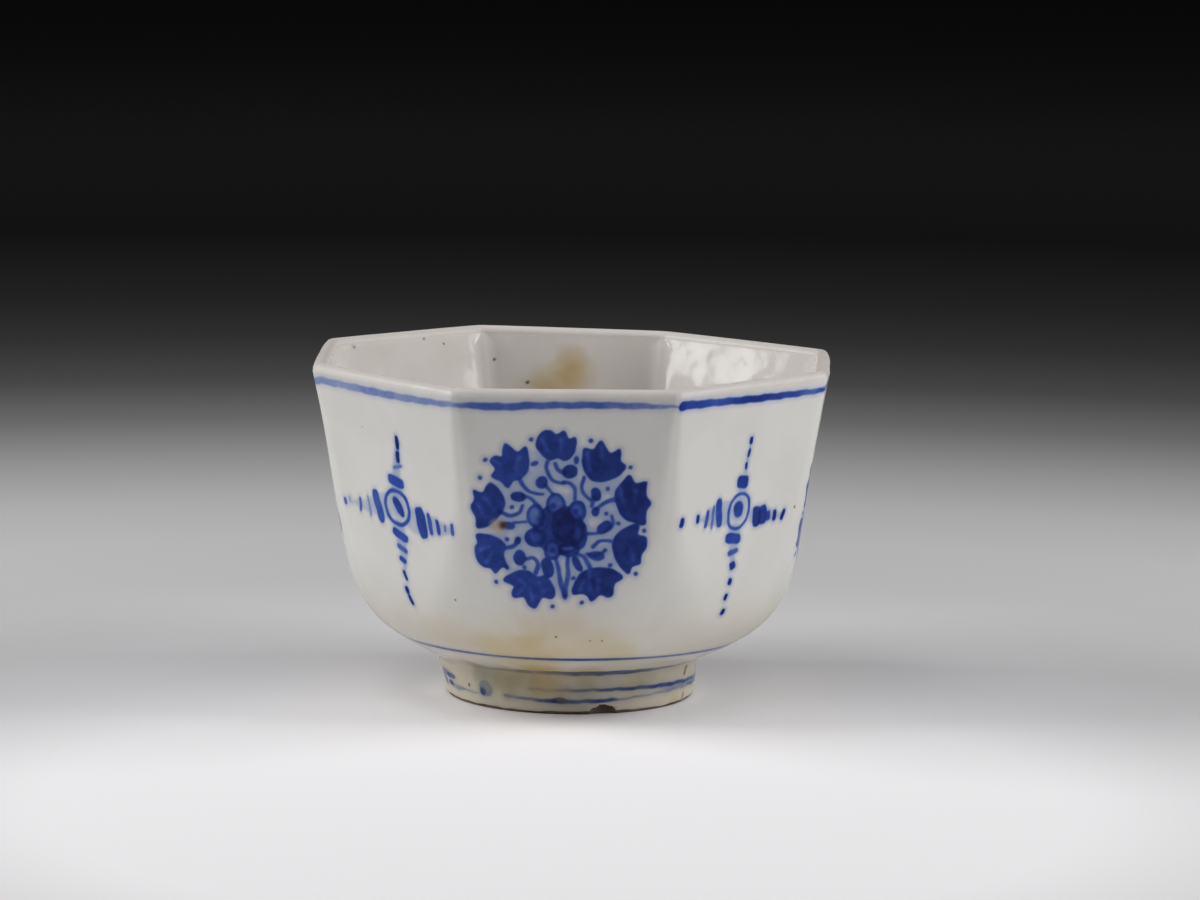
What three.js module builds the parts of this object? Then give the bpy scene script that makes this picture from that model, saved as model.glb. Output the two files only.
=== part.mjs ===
// An eight-sided footed bowl in glazed blue and white pottery.
// Millimetres, +Z up. The origin is under the middle of the foot, at the level that the bowl stands on.
// Front (the side with the flower roundel) faces -Y. Every piece is one closed solid, and neighbours
// meet face to face: the clay, the slip that joins the foot, the glaze coats and the painted lines.
import * as THREE from 'three';

// The whole bowl, measured over the glaze.
const rimAcrossFlats = 150;
const bowlHeight = 100;
const lipDrop = 2.2;

// The outside of the wall, from the rim down: a slight flare, a belly, then a turn in to the foot.
const midWallAcross = 138.2;
const midWallHeight = 67;
const bellyAcross = 132.8;
const bellyHeight = 46;
const bellyReach = 24;
const flankSlope = THREE.MathUtils.degToRad(26.3);
const flankReach = 18;

// The thickness of the clay.
const rimWall = 3.3;
const bellyWall = 4.4;
const floorThickness = 5.4;
const insideBellyReach = 21;
const insideFloorReach = 41;

// The foot.
const footHeight = 12.6;
const footTopAcross = 75.8;
const footRimAcross = 73.6;
const footWall = 5.4;
const footRimBevel = 0.9;
const slipThickness = 0.6;
const slipFillet = 1.1;

// The eight corners: the radius of the ridge at the lip, and the heights between which it dies away.
const ridgeRadius = 3.6;
const ridgeFadesFrom = 66;
const roundBelow = 17;

// The glaze, and how far above the bevel of the bare foot rim it stops, outside and in the recess.
const glaze = 0.4;
const bareFootOutside = 0.6;
const bareFootInside = 0.3;

// The painted lines: how deep the cobalt sits in the glaze, and the place and breadth of each.
// The rim line is placed down from the lip, the next two from the top of the foot, and the rest from the ground.
const cobaltDepth = 0.2;
const rimLineDrop = 4.7;
const rimLineBreadth = 2;
const flankLineRise = 6.5;
const flankLineBreadth = 0.4;
const angleLineDrop = 0.9;
const angleLineBreadth = 0.6;
const upperFootLineHeight = 7.3;
const lowerFootLineHeight = 4;
const footLineBreadth = 0.8;

// The mesh: stations round each side, and steps along the curved outlines.
const sides = 8;
const stationsPerSide = 6;
const flankSteps = 6;
const wallSteps = 3;
const lipSteps = 3;
const insideSteps = 7;

// How far each corner of the hand-made rim strays: outwards, to the right seen from outside, and up.
// The first corner is at the right of the front side, and the rest follow to the right.
const cornerStrays = [
  { out: 0.2, right: 0.3, up: -0.2 },
  { out: -0.7, right: -0.1, up: 0.3 },
  { out: 1.6, right: -1.0, up: -0.6 },
  { out: -1.2, right: 2.2, up: -0.7 },
  { out: 0, right: -0.4, up: 0.4 },
  { out: -0.1, right: -0.4, up: 0.6 },
  { out: -0.8, right: 0, up: 0.5 },
  { out: 0.6, right: -0.6, up: -0.6 },
];
const strayFrom = 30;

// How far the middle of the rim leans to the left of the middle of the foot.
const lean = 1.1;

const sideAngle = (2 * Math.PI) / sides;
const halfSide = sideAngle / 2;
const point = (across, height) => new THREE.Vector2(across, height);

// 1 where a section is a full circle, near 0 where it is a sharp octagon.
function roundness(height) {
  const fade = 1 - THREE.MathUtils.smoothstep(height, roundBelow, ridgeFadesFrom);
  const sharpest = (2 * ridgeRadius) / rimAcrossFlats;
  return THREE.MathUtils.lerp(sharpest, 1, fade);
}

// The angle of a station from the middle of its side. The last but one is where the ridge begins.
function stationAngle(station, round) {
  const ridgeStart = Math.atan((1 - round) * Math.tan(halfSide));
  const middle = stationsPerSide / 2;
  const lastFlat = Math.max(ridgeStart, (halfSide * (middle - 1)) / middle);
  return station === middle ? halfSide : (lastFlat * station) / (middle - 1);
}

// The distance from the axis to the outline of a side with a rounded ridge, at an angle from its middle.
function sideRadius(angle, flat, round) {
  if (Math.tan(angle) <= (1 - round) * Math.tan(halfSide)) return flat / Math.cos(angle);
  const ridgeCentre = ((1 - round) * flat) / Math.cos(halfSide);
  const turn = halfSide - angle;
  const reach = Math.sqrt((round * flat) ** 2 - (ridgeCentre * Math.sin(turn)) ** 2);
  return ridgeCentre * Math.cos(turn) + reach;
}

// Where the point of a round lathe section goes on the eight-sided bowl.
function placeOnBowl(flat, height, column) {
  const side = Math.round(column / stationsPerSide);
  const station = column - side * stationsPerSide;
  const round = roundness(height);
  const turned = stationAngle(Math.abs(station), round);
  const angle = side * sideAngle + Math.sign(station) * turned;
  const radius = sideRadius(turned, flat, round);
  const onRound = new THREE.Vector3(radius * Math.sin(angle), -radius * Math.cos(angle), height);
  const leaning = new THREE.Vector3((-lean * height) / bowlHeight, 0, 0);
  return onRound.add(stray(side, Math.sign(station) * turned, height)).add(leaning);
}

// The stray of the two corners of a side, shared out along it, and none low on the bowl.
function stray(side, turned, height) {
  const share = 0.5 + Math.tan(turned) / (2 * Math.tan(halfSide));
  const weight = THREE.MathUtils.smoothstep(height, strayFrom, bowlHeight);
  const ends = [side + sides - 1, side + sides].map((corner) => cornerStray(corner % sides));
  return ends[0].lerp(ends[1], share).multiplyScalar(weight);
}

function cornerStray(corner) {
  const { out, right, up } = cornerStrays[corner];
  const angle = (corner + 0.5) * sideAngle;
  const outwards = new THREE.Vector3(Math.sin(angle), -Math.cos(angle), 0);
  const rightwards = new THREE.Vector3(Math.cos(angle), Math.sin(angle), 0);
  return outwards.multiplyScalar(out).addScaledVector(rightwards, right).setZ(up);
}

// Turns a closed outline round the axis and gives it the bowl's eight sides.
function turnOnBowl(outline) {
  const columns = sides * stationsPerSide;
  const geometry = new THREE.LatheGeometry(outline, columns);
  const position = geometry.attributes.position;
  for (let column = 0; column <= columns; column++) {
    outline.forEach((at, row) => {
      const placed = placeOnBowl(at.x, at.y, column % columns);
      position.setXYZ(column * outline.length + row, placed.x, placed.y, placed.z);
    });
  }
  return geometry;
}

// A coat's outline runs along what it lies on and back over its own outer face, so its faces are
// turned over. The four-cornered faces of the way back are folded along their other diagonal: there
// they twist as those under them do, and the coat keeps its thickness.
function turnCoatOver(geometry, outlineRows, underRows) {
  const index = geometry.index;
  for (let first = 0; first < index.count; first += 6) {
    const [a, b, d, c] = [0, 1, 2, 3].map((corner) => index.getX(first + corner));
    const isWayBack = (first / 6) % outlineRows >= underRows;
    const faces = isWayBack ? [a, c, b, a, d, c] : [a, d, b, c, b, d];
    faces.forEach((vertex, corner) => index.setX(first + corner, vertex));
  }
}

// The path that lies a distance outside another one. Outside is to the right of the way it runs.
function coatOver(path, thickness) {
  return path.map((at, i) => {
    const before = path[Math.max(i - 1, 0)];
    const after = path[Math.min(i + 1, path.length - 1)];
    const along = after.clone().sub(before).normalize();
    const moved = point(at.x + along.y * thickness, at.y - along.x * thickness);
    return at.x === 0 ? moved.setX(0) : moved;
  });
}

// Cuts a groove for a painted line into a coat's rising outer face.
function sinkLine(over, height, breadth) {
  const [low, high] = [height - breadth / 2, height + breadth / 2];
  const ends = [pointAtHeight(over, low), pointAtHeight(over, high)];
  const groove = [ends[0], ...coatOver(ends, -cobaltDepth), ends[1]];
  const below = over.filter((at) => at.y < low);
  const above = over.filter((at) => at.y > high);
  return { over: [...below, ...groove, ...above], groove };
}

function pointAtHeight(path, height) {
  const next = path.findIndex((at) => at.y > height);
  const [low, high] = [path[next - 1], path[next]];
  return low.clone().lerp(high, (height - low.y) / (high.y - low.y));
}

// The outside of the clay wall, from the edge of the flat underside up to the lip.
function outsideWall() {
  const start = point(footTopAcross / 2 - glaze + slipFillet, footHeight);
  const belly = point(bellyAcross / 2 - glaze, bellyHeight);
  const middle = point(midWallAcross / 2 - glaze, midWallHeight);
  const rim = point(rimAcrossFlats / 2 - glaze, bowlHeight - lipDrop);
  const rising = middle.clone().sub(belly).normalize();
  const flankWay = point(Math.cos(flankSlope), Math.sin(flankSlope));
  const flankPull = start.clone().addScaledVector(flankWay, flankReach);
  const bellyPull = belly.clone().addScaledVector(rising, -bellyReach);
  const flank = new THREE.CubicBezierCurve(start, flankPull, bellyPull, belly);
  const wall = new THREE.QuadraticBezierCurve(belly, middle, rim);
  return [...flank.getPoints(flankSteps), ...wall.getPoints(wallSteps).slice(1)];
}

// The crown of the lip, a half round from the outside of the wall over to the inside.
function lipCrown() {
  const outer = rimAcrossFlats / 2 - glaze;
  const middle = point(outer - rimWall / 2, bowlHeight - lipDrop);
  const arch = new THREE.EllipseCurve(middle.x, middle.y, rimWall / 2, lipDrop - glaze, 0, Math.PI);
  return arch.getPoints(2 * lipSteps).slice(1);
}

// The inside of the clay, from the lip down the wall and in across the floor to the axis.
function insideWall() {
  const rim = point(rimAcrossFlats / 2 - glaze - rimWall, bowlHeight - lipDrop);
  const middle = point(midWallAcross / 2 - glaze - (rimWall + bellyWall) / 2, midWallHeight);
  const belly = point(bellyAcross / 2 - glaze - bellyWall, bellyHeight);
  const floor = point(0, footHeight + floorThickness);
  const rising = middle.clone().sub(belly).normalize();
  const bellyPull = belly.clone().addScaledVector(rising, -insideBellyReach);
  const floorPull = point(insideFloorReach, floor.y);
  const wall = new THREE.QuadraticBezierCurve(rim, middle, belly);
  const bowl = new THREE.CubicBezierCurve(belly, bellyPull, floorPull, floor);
  return [...wall.getPoints(wallSteps).slice(1), ...bowl.getPoints(insideSteps).slice(1)];
}

// The side of the foot ring above its bevel, up to where the slip begins.
function footSide() {
  const rim = footRimAcross / 2 - glaze;
  const top = footTopAcross / 2 - glaze;
  const rise = (height) => point(THREE.MathUtils.lerp(rim, top, height / footHeight), height);
  const slipStart = footHeight - slipThickness - slipFillet;
  return [rise(footRimBevel), rise(footRimBevel + bareFootOutside), rise(slipStart)];
}

// The inner side of the foot ring, from the slip down to the bare rim.
function footRecess() {
  const inner = footTopAcross / 2 - glaze - footWall;
  const heights = [footHeight - slipThickness, footRimBevel + bareFootInside, footRimBevel];
  return heights.map((height) => point(inner, height));
}

const wallOutside = outsideWall();
const lip = lipCrown();
const wallInside = insideWall();
const [sideBevel, sideGlazeEnd, sideTop] = footSide();
const [recessTop, recessGlazeEnd, recessBevel] = footRecess();
const undersideEdge = wallOutside[0];
const underside = point(recessTop.x - slipFillet / 2, footHeight);
const footTop = point(sideTop.x, footHeight - slipThickness);

// The clay of the bowl, anticlockwise from the middle of its underside.
const bowlOutline = [point(0, footHeight), underside, ...wallOutside, ...lip, ...wallInside];

// The foot ring, with its bevelled rim flat on the ground.
const footOutline = [
  point(recessBevel.x + footRimBevel, 0),
  point(sideBevel.x - footRimBevel, 0),
  sideBevel,
  sideGlazeEnd,
  sideTop,
  footTop,
  recessTop,
  recessGlazeEnd,
  recessBevel,
];

// The slip between them, which rounds off the angle outside and in the recess.
const slipOutline = [recessTop, footTop, sideTop, undersideEdge, underside];

// All the glazed clay outside and inside, in one run, so that the coats meet edge to edge.
const footRun = [sideGlazeEnd, sideTop];
const glazedRun = [...footRun, ...wallOutside, ...lip, ...wallInside];
const glazedFace = coatOver(glazedRun, glaze);
const footEnd = footRun.length;
const crown = footEnd + wallOutside.length + lipSteps - 1;
const recessRun = [point(0, footHeight), underside, recessTop, recessGlazeEnd];

const wallFace = glazedFace.slice(footEnd, crown + 1);
const footFace = glazedFace.slice(0, footEnd + 1);
const rimLine = sinkLine(wallFace, bowlHeight - rimLineDrop, rimLineBreadth);
const flankLine = sinkLine(rimLine.over, footHeight + flankLineRise, flankLineBreadth);
const angleLine = sinkLine(footFace, footHeight - angleLineDrop, angleLineBreadth);
const upperFootLine = sinkLine(angleLine.over, upperFootLineHeight, footLineBreadth);
const lowerFootLine = sinkLine(upperFootLine.over, lowerFootLineHeight, footLineBreadth);

const clay = { color: 0xe6e0d6, roughness: 0.75, metalness: 0 };
const bareClay = { color: 0xb9a184, roughness: 0.85, metalness: 0 };
const whiteGlaze = { color: 0xdfe2de, roughness: 0.12, metalness: 0 };
const cobalt = { color: 0x2b4aa0, roughness: 0.14, metalness: 0 };

const bowl = new THREE.Group();

function addPiece(name, geometry, look) {
  geometry.computeVertexNormals();
  const mesh = new THREE.Mesh(geometry, new THREE.MeshStandardMaterial(look));
  mesh.name = name;
  bowl.add(mesh);
}

function addClay(name, outline, look) {
  addPiece(name, turnOnBowl(outline), look);
}

// A coat lies on the path under it. A painted line fills its groove, and has no more outer face than that.
function addCoat(name, under, over, look) {
  const outline = [...under, ...over.toReversed(), under[0]];
  const geometry = turnOnBowl(outline);
  turnCoatOver(geometry, outline.length - 1, under.length);
  addPiece(name, geometry, look);
}

addClay('bowl_body', bowlOutline, clay);
addClay('foot_ring', [...footOutline, footOutline[0]], bareClay);
addClay('luting_slip', [...slipOutline, slipOutline[0]], clay);
addCoat('outside_glaze', glazedRun.slice(footEnd, crown + 1), flankLine.over, whiteGlaze);
addCoat('inside_glaze', glazedRun.slice(crown), glazedFace.slice(crown), whiteGlaze);
addCoat('foot_glaze', glazedRun.slice(0, footEnd + 1), lowerFootLine.over, whiteGlaze);
addCoat('recess_glaze', recessRun, coatOver(recessRun, glaze), whiteGlaze);
addCoat('rim_line', rimLine.groove, [], cobalt);
addCoat('flank_line', flankLine.groove, [], cobalt);
addCoat('angle_line', angleLine.groove, [], cobalt);
addCoat('upper_foot_line', upperFootLine.groove, [], cobalt);
addCoat('lower_foot_line', lowerFootLine.groove, [], cobalt);

export default bowl;
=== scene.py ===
from math import cos, pi, radians, sin, tan

import bmesh
import bpy
import numpy as np
from mathutils import Matrix, Vector


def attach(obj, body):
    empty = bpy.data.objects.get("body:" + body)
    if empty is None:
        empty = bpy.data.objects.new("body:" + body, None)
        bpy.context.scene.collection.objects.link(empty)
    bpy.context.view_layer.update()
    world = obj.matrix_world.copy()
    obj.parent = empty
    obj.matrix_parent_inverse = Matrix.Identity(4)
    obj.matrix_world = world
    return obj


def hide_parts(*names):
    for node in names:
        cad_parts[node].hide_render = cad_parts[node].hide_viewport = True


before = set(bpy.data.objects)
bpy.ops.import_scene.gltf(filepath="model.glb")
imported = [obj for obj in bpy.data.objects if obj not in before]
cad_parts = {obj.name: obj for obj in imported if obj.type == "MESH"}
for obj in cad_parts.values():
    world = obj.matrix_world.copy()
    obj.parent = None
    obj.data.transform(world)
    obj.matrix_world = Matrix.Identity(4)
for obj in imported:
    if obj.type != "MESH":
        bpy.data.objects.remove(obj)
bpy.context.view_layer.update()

MM = 0.001

# The whole bowl over its glaze, in millimetres, with the front side facing -Y.
RIM_ACROSS_FLATS = 150
BOWL_HEIGHT = 100
LIP_DROP = 2.2
MID_WALL_ACROSS = 138.2
MID_WALL_HEIGHT = 67
BELLY_ACROSS = 132.8
BELLY_HEIGHT = 46
BELLY_REACH = 24
FLANK_SLOPE = radians(26.3)
FLANK_REACH = 18

# The clay wall, the floor and the foot.
RIM_WALL = 3.3
BELLY_WALL = 4.4
FLOOR_THICKNESS = 5.4
INSIDE_BELLY_REACH = 21
INSIDE_FLOOR_REACH = 41
FOOT_HEIGHT = 12.6
FOOT_TOP_ACROSS = 75.8
FOOT_RIM_ACROSS = 73.6
FOOT_WALL = 5.4
FOOT_RIM_BEVEL = 0.9
SLIP_THICKNESS = 0.6
SLIP_FILLET = 1.1

# The eight corners: a ridge that softens down the wall and is gone low on the flank, its radius at the
# lip and below each of two heights, and the glaze that pooled in the corners inside.
SIDES = 8
SIDE_ANGLE = 2 * pi / SIDES
HALF_SIDE = SIDE_ANGLE / 2
RIDGE_RADIUS = 3.6
RIDGE_SOFTENS_FROM = BOWL_HEIGHT - 3
SOFT_RIDGE_RADIUS = 7.5
SOFT_RIDGE_BELOW = 86
LOW_RIDGE_RADIUS = 14
LOW_RIDGE_BELOW = 56
RIDGE_FADES_FROM = 66
ROUND_BELOW = 17
POOLED_RADIUS = 12
POOLED_BELOW = BOWL_HEIGHT - 5
POOLED_FROM = BOWL_HEIGHT - 1.5

# How far each corner of the hand-made rim strays out, to the right and up, from the front's right corner on.
CORNER_STRAYS = [
    (0.2, 0.3, -0.2), (-0.7, -0.1, 0.3), (1.6, -1.0, -0.6), (-1.2, 2.2, -0.7),
    (0, -0.4, 0.4), (-0.1, -0.4, 0.6), (-0.8, 0, 0.5), (0.6, -0.6, -0.6),
]
STRAY_FROM = 30
LEAN = 1.1

# The glaze: its thickness, and where it ends above the bare rim of the foot.
GLAZE = 0.4
GLAZE_END = 0.9
GLAZE_RECESS_END = 1.2
GLAZE_TAPER = 1.4
LEAST_GLAZE_SHARE = 0.01
FOOT_RECESS_RADIUS = FOOT_TOP_ACROSS / 2 - GLAZE - FOOT_WALL

# The blue lies this far proud of the glaze's face, and this deep in it.
PAINT_PROUD = 0.02
PAINT_SUNK = 0.03

# The mesh: columns round each side, the share of them on its flat part, and rows along the outlines.
COLUMNS_PER_SIDE = 40
FLAT_SHARE = 0.7
ROWS = 40
UNDER_STEP = 4
SEAM_GAP = 0.001


def smooth_share(value, low, high):
    share = np.clip((value - low) / (high - low), 0, 1)
    return share * share * (3 - 2 * share)


# Outlines, as rows of (distance from the axis, height). Outside is to the right of the way they run.
def point(across, height):
    return np.array([across, height], float)


def unit(way):
    return way / np.linalg.norm(way)


def curve(points, steps):
    """A Bezier curve on its control points."""
    share = np.linspace(0, 1, steps + 1)[:, None]
    points = [p[None, :] for p in points]
    while len(points) > 1:
        points = [a * (1 - share) + b * share for a, b in zip(points, points[1:])]
    return points[0]


def wall_start():
    """Where the slip's fillet runs out on the underside of the wall."""
    return point(FOOT_TOP_ACROSS / 2 - GLAZE + SLIP_FILLET, FOOT_HEIGHT)


def outside_wall():
    start = wall_start()
    belly = point(BELLY_ACROSS / 2 - GLAZE, BELLY_HEIGHT)
    middle = point(MID_WALL_ACROSS / 2 - GLAZE, MID_WALL_HEIGHT)
    rim = point(RIM_ACROSS_FLATS / 2 - GLAZE, BOWL_HEIGHT - LIP_DROP)
    flank_pull = start + FLANK_REACH * point(cos(FLANK_SLOPE), sin(FLANK_SLOPE))
    belly_pull = belly - BELLY_REACH * unit(middle - belly)
    flank = curve([start, flank_pull, belly_pull, belly], ROWS)
    return np.concatenate([flank, curve([belly, middle, rim], ROWS)[1:]])


def lip_crown():
    across = RIM_ACROSS_FLATS / 2 - GLAZE - RIM_WALL / 2
    turn = np.linspace(0, pi, ROWS // 2 + 1)[1:]
    height = BOWL_HEIGHT - LIP_DROP + (LIP_DROP - GLAZE) * np.sin(turn)
    return np.stack([across + RIM_WALL / 2 * np.cos(turn), height], 1)


def inside_wall():
    rim = point(RIM_ACROSS_FLATS / 2 - GLAZE - RIM_WALL, BOWL_HEIGHT - LIP_DROP)
    middle = point(MID_WALL_ACROSS / 2 - GLAZE - (RIM_WALL + BELLY_WALL) / 2, MID_WALL_HEIGHT)
    belly = point(BELLY_ACROSS / 2 - GLAZE - BELLY_WALL, BELLY_HEIGHT)
    floor = point(0, FOOT_HEIGHT + FLOOR_THICKNESS)
    belly_pull = belly - INSIDE_BELLY_REACH * unit(middle - belly)
    floor_pull = point(INSIDE_FLOOR_REACH, floor[1])
    wall = curve([rim, middle, belly], ROWS)[1:]
    return np.concatenate([wall, curve([belly, belly_pull, floor_pull, floor], ROWS)[1:]])


def foot_across_at(height):
    rim = FOOT_RIM_ACROSS / 2 - GLAZE
    return rim + (FOOT_TOP_ACROSS / 2 - GLAZE - rim) * height / FOOT_HEIGHT


def foot_side():
    """Up the side of the foot and round the slip's fillet, to where the wall starts."""
    heights = np.linspace(GLAZE_END, FOOT_HEIGHT - SLIP_THICKNESS - SLIP_FILLET, ROWS)
    rise = np.stack([foot_across_at(heights), heights], 1)
    angle_height = FOOT_HEIGHT - SLIP_FILLET * tan(FLANK_SLOPE)
    angle = point(foot_across_at(angle_height), angle_height)
    return np.concatenate([rise, curve([rise[-1], angle, wall_start()], ROWS // 4)[1:-1]])


def foot_recess():
    """From the middle of the underside out and down the inner side of the foot."""
    across = np.linspace(0, FOOT_RECESS_RADIUS - 2 * SLIP_FILLET, ROWS // 2)
    flat = np.stack([across, np.full(ROWS // 2, FOOT_HEIGHT)], 1)
    corner = point(FOOT_RECESS_RADIUS, FOOT_HEIGHT)
    turn = curve([flat[-1], corner, corner - point(0, 2 * SLIP_FILLET)], ROWS // 4)[1:]
    down = np.linspace(turn[-1, 1], GLAZE_RECESS_END, ROWS // 2)[1:]
    return np.concatenate([flat, turn, np.stack([np.full(len(down), FOOT_RECESS_RADIUS), down], 1)])


def outward(path):
    before = path[np.maximum(np.arange(len(path)) - 1, 0)]
    after = path[np.minimum(np.arange(len(path)) + 1, len(path) - 1)]
    along = (after - before) / np.linalg.norm(after - before, axis=1)[:, None]
    return np.stack([along[:, 1], -along[:, 0]], 1)


def coat_over(path, thickness):
    moved = path + outward(path) * np.broadcast_to(thickness, len(path))[:, None]
    moved[path[:, 0] == 0, 0] = 0
    return moved


def thinning_glaze(height, end):
    """How thick the glaze is where it thins towards its lower end."""
    return GLAZE * np.sqrt(np.clip((height - end) / GLAZE_TAPER, LEAST_GLAZE_SHARE, 1))


FOOT_RUN = foot_side()
WALL_RUN = outside_wall()
LIP_RUN = lip_crown()
GLAZED_RUN = np.concatenate([FOOT_RUN, WALL_RUN, LIP_RUN, inside_wall()])
FOOT_ROWS = len(FOOT_RUN)
CROWN_ROWS = FOOT_ROWS + len(WALL_RUN) + len(LIP_RUN)
GLAZE_DEPTH = np.full(len(GLAZED_RUN), GLAZE)
GLAZE_DEPTH[:FOOT_ROWS] = thinning_glaze(FOOT_RUN[:, 1], GLAZE_END)
GLAZED_FACE = coat_over(GLAZED_RUN, GLAZE_DEPTH)
OUTSIDE_FACE = GLAZED_FACE[:FOOT_ROWS + len(WALL_RUN)]
OUTSIDE_WAY = outward(OUTSIDE_FACE)


def outside_radius(height):
    """From the axis to the glaze in the middle of a side."""
    return np.interp(height, OUTSIDE_FACE[:, 1], OUTSIDE_FACE[:, 0])


def roundness(height):
    """1 where a section is a full circle, near 0 where it is a sharp octagon."""
    soft = 1 - smooth_share(height, SOFT_RIDGE_BELOW, RIDGE_SOFTENS_FROM)
    low = 1 - smooth_share(height, LOW_RIDGE_BELOW, SOFT_RIDGE_BELOW)
    softened = (SOFT_RIDGE_RADIUS - RIDGE_RADIUS) * soft + (LOW_RIDGE_RADIUS - SOFT_RIDGE_RADIUS) * low
    sharpest = 2 * (RIDGE_RADIUS + softened) / RIM_ACROSS_FLATS
    return 1 + (sharpest - 1) * smooth_share(height, ROUND_BELOW, RIDGE_FADES_FROM)


def pooled_roundness(height):
    """The same inside the bowl, where glaze pooled in the corners from a little under the lip."""
    pooled = 1 - smooth_share(height, POOLED_BELOW, POOLED_FROM)
    return np.maximum(roundness(height), (2 * POOLED_RADIUS / RIM_ACROSS_FLATS) * pooled)


def side_radius(turned, flat, rounded):
    """From the axis to the outline of a side with a rounded ridge, at an angle from the side's middle."""
    ridge_centre = (1 - rounded) * flat / cos(HALF_SIDE)
    turn = HALF_SIDE - turned
    reach = np.sqrt(np.maximum((rounded * flat) ** 2 - (ridge_centre * np.sin(turn)) ** 2, 0))
    is_flat = np.tan(turned) <= (1 - rounded) * tan(HALF_SIDE)
    return np.where(is_flat, flat / np.cos(turned), ridge_centre * np.cos(turn) + reach)


def corner_stray(corner):
    out, right, up = CORNER_STRAYS[corner]
    angle = (corner + 0.5) * SIDE_ANGLE
    return sin(angle) * out + cos(angle) * right, sin(angle) * right - cos(angle) * out, up


STRAYS = np.array([corner_stray(corner) for corner in range(SIDES)])

# Slow waves in the hand-made wall: wave vectors per millimetre, phases and heights in millimetres. They
# grow over the first stretch out from the axis and up from the foot's rim.
WAVE_SEED = 7
WAVE_COUNT = 14
WAVE_LENGTHS = (14, 46)
WAVE_HEIGHT = 0.018
WAVES_GROW_OUT = (5, 20)
WAVES_GROW_UP = (0, 20)
draw = np.random.default_rng(WAVE_SEED)
WAVE_WAYS = draw.normal(size=(WAVE_COUNT, 3))
WAVE_WAYS /= np.linalg.norm(WAVE_WAYS, axis=1)[:, None]
WAVE_WAYS *= (2 * pi / draw.uniform(*WAVE_LENGTHS, WAVE_COUNT))[:, None]
WAVE_PHASES = draw.uniform(0, 2 * pi, WAVE_COUNT)

# How far the middle of a side stands out past its edges, and how far out of that is at the middle.
BULGE = 0.7
BULGE_OUT = 0.25
BULGE_POWER = 3.5

# The foot's lean to the left, the heights between which the bowl takes it over, and how far the foot
# flares on its left just under the bowl: between which radii and heights that comes and goes.
FOOT_LEAN = 0.6
LEAN_FADES = (8, 17)
FOOT_FLARE = 1.2
FLARE_TURN = radians(-80)
FLARE_STARTS_OUT = (20, 32)
FLARE_STARTS_UP = (2, 10)
FLARE_FADES = (13, 20)


def waver(at):
    """How far the wall swells out at a place."""
    return WAVE_HEIGHT * np.sin(at @ WAVE_WAYS.T + WAVE_PHASES).sum(-1)


def bulge(turned, rounded):
    """How far a side stands out or in across its breadth: almost flat, but falling off to the ridges."""
    across = np.tan(np.abs(turned)) / tan(HALF_SIDE)
    return (BULGE_OUT - BULGE * across ** BULGE_POWER) * (1 - rounded)


def place(side, turned, flat, height, round_at=roundness):
    """Where the point of a round section goes on the eight-sided bowl, in millimetres."""
    radius = side_radius(np.abs(turned), flat, round_at(height))
    angle = side * SIDE_ANGLE + turned
    share = (0.5 + np.tan(turned) / (2 * tan(HALF_SIDE)))[:, None]
    weight = smooth_share(height, STRAY_FROM, BOWL_HEIGHT)[:, None]
    stray = (STRAYS[(side - 1) % SIDES] * (1 - share) + STRAYS[side % SIDES] * share) * weight
    out = np.stack([np.sin(angle), -np.cos(angle), np.zeros(len(angle))], 1)
    at = out * radius[:, None] + stray
    at[:, 0] -= LEAN * height / BOWL_HEIGHT
    at[:, 0] -= FOOT_LEAN * (1 - smooth_share(height, *LEAN_FADES))
    at[:, 2] += height
    swell = waver(at) * smooth_share(radius, *WAVES_GROW_OUT) * smooth_share(height, *WAVES_GROW_UP)
    swell += bulge(turned, roundness(height))
    around = np.clip(np.cos(angle - FLARE_TURN), 0, 1) ** 2 * smooth_share(radius, *FLARE_STARTS_OUT)
    flaring = smooth_share(height, *FLARE_STARTS_UP) * (1 - smooth_share(height, *FLARE_FADES))
    swell += FOOT_FLARE * around * flaring
    return at + out * swell[:, None]


def station_angle(share, rounded):
    """The angle from the middle of a side to a station on it, with stations crowded on the ridge."""
    last_flat = np.maximum(np.arctan((1 - rounded) * tan(HALF_SIDE)), FLAT_SHARE * HALF_SIDE)
    past = (share - FLAT_SHARE) / (1 - FLAT_SHARE)
    on_ridge = last_flat + (HALF_SIDE - last_flat) * past
    return np.where(share < FLAT_SHARE, last_flat * share / FLAT_SHARE, on_ridge)


def read_places(mesh):
    flat = np.empty(len(mesh.vertices) * 3)
    mesh.vertices.foreach_get("co", flat)
    return flat.reshape(-1, 3)


def write_places(mesh, places):
    mesh.vertices.foreach_set("co", (places * MM).ravel())
    mesh.update()


def finish_mesh(name, bm):
    bmesh.ops.recalc_face_normals(bm, faces=bm.faces)
    mesh = bpy.data.meshes.new(name)
    bm.to_mesh(mesh)
    bm.free()
    piece = bpy.data.objects.new(name, mesh)
    bpy.context.scene.collection.objects.link(piece)
    return piece


def shade_smooth(piece, crease=radians(40)):
    mesh = piece.data
    mesh.polygons.foreach_set("use_smooth", np.ones(len(mesh.polygons), bool))
    mesh.set_sharp_from_angle(angle=crease)


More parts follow.
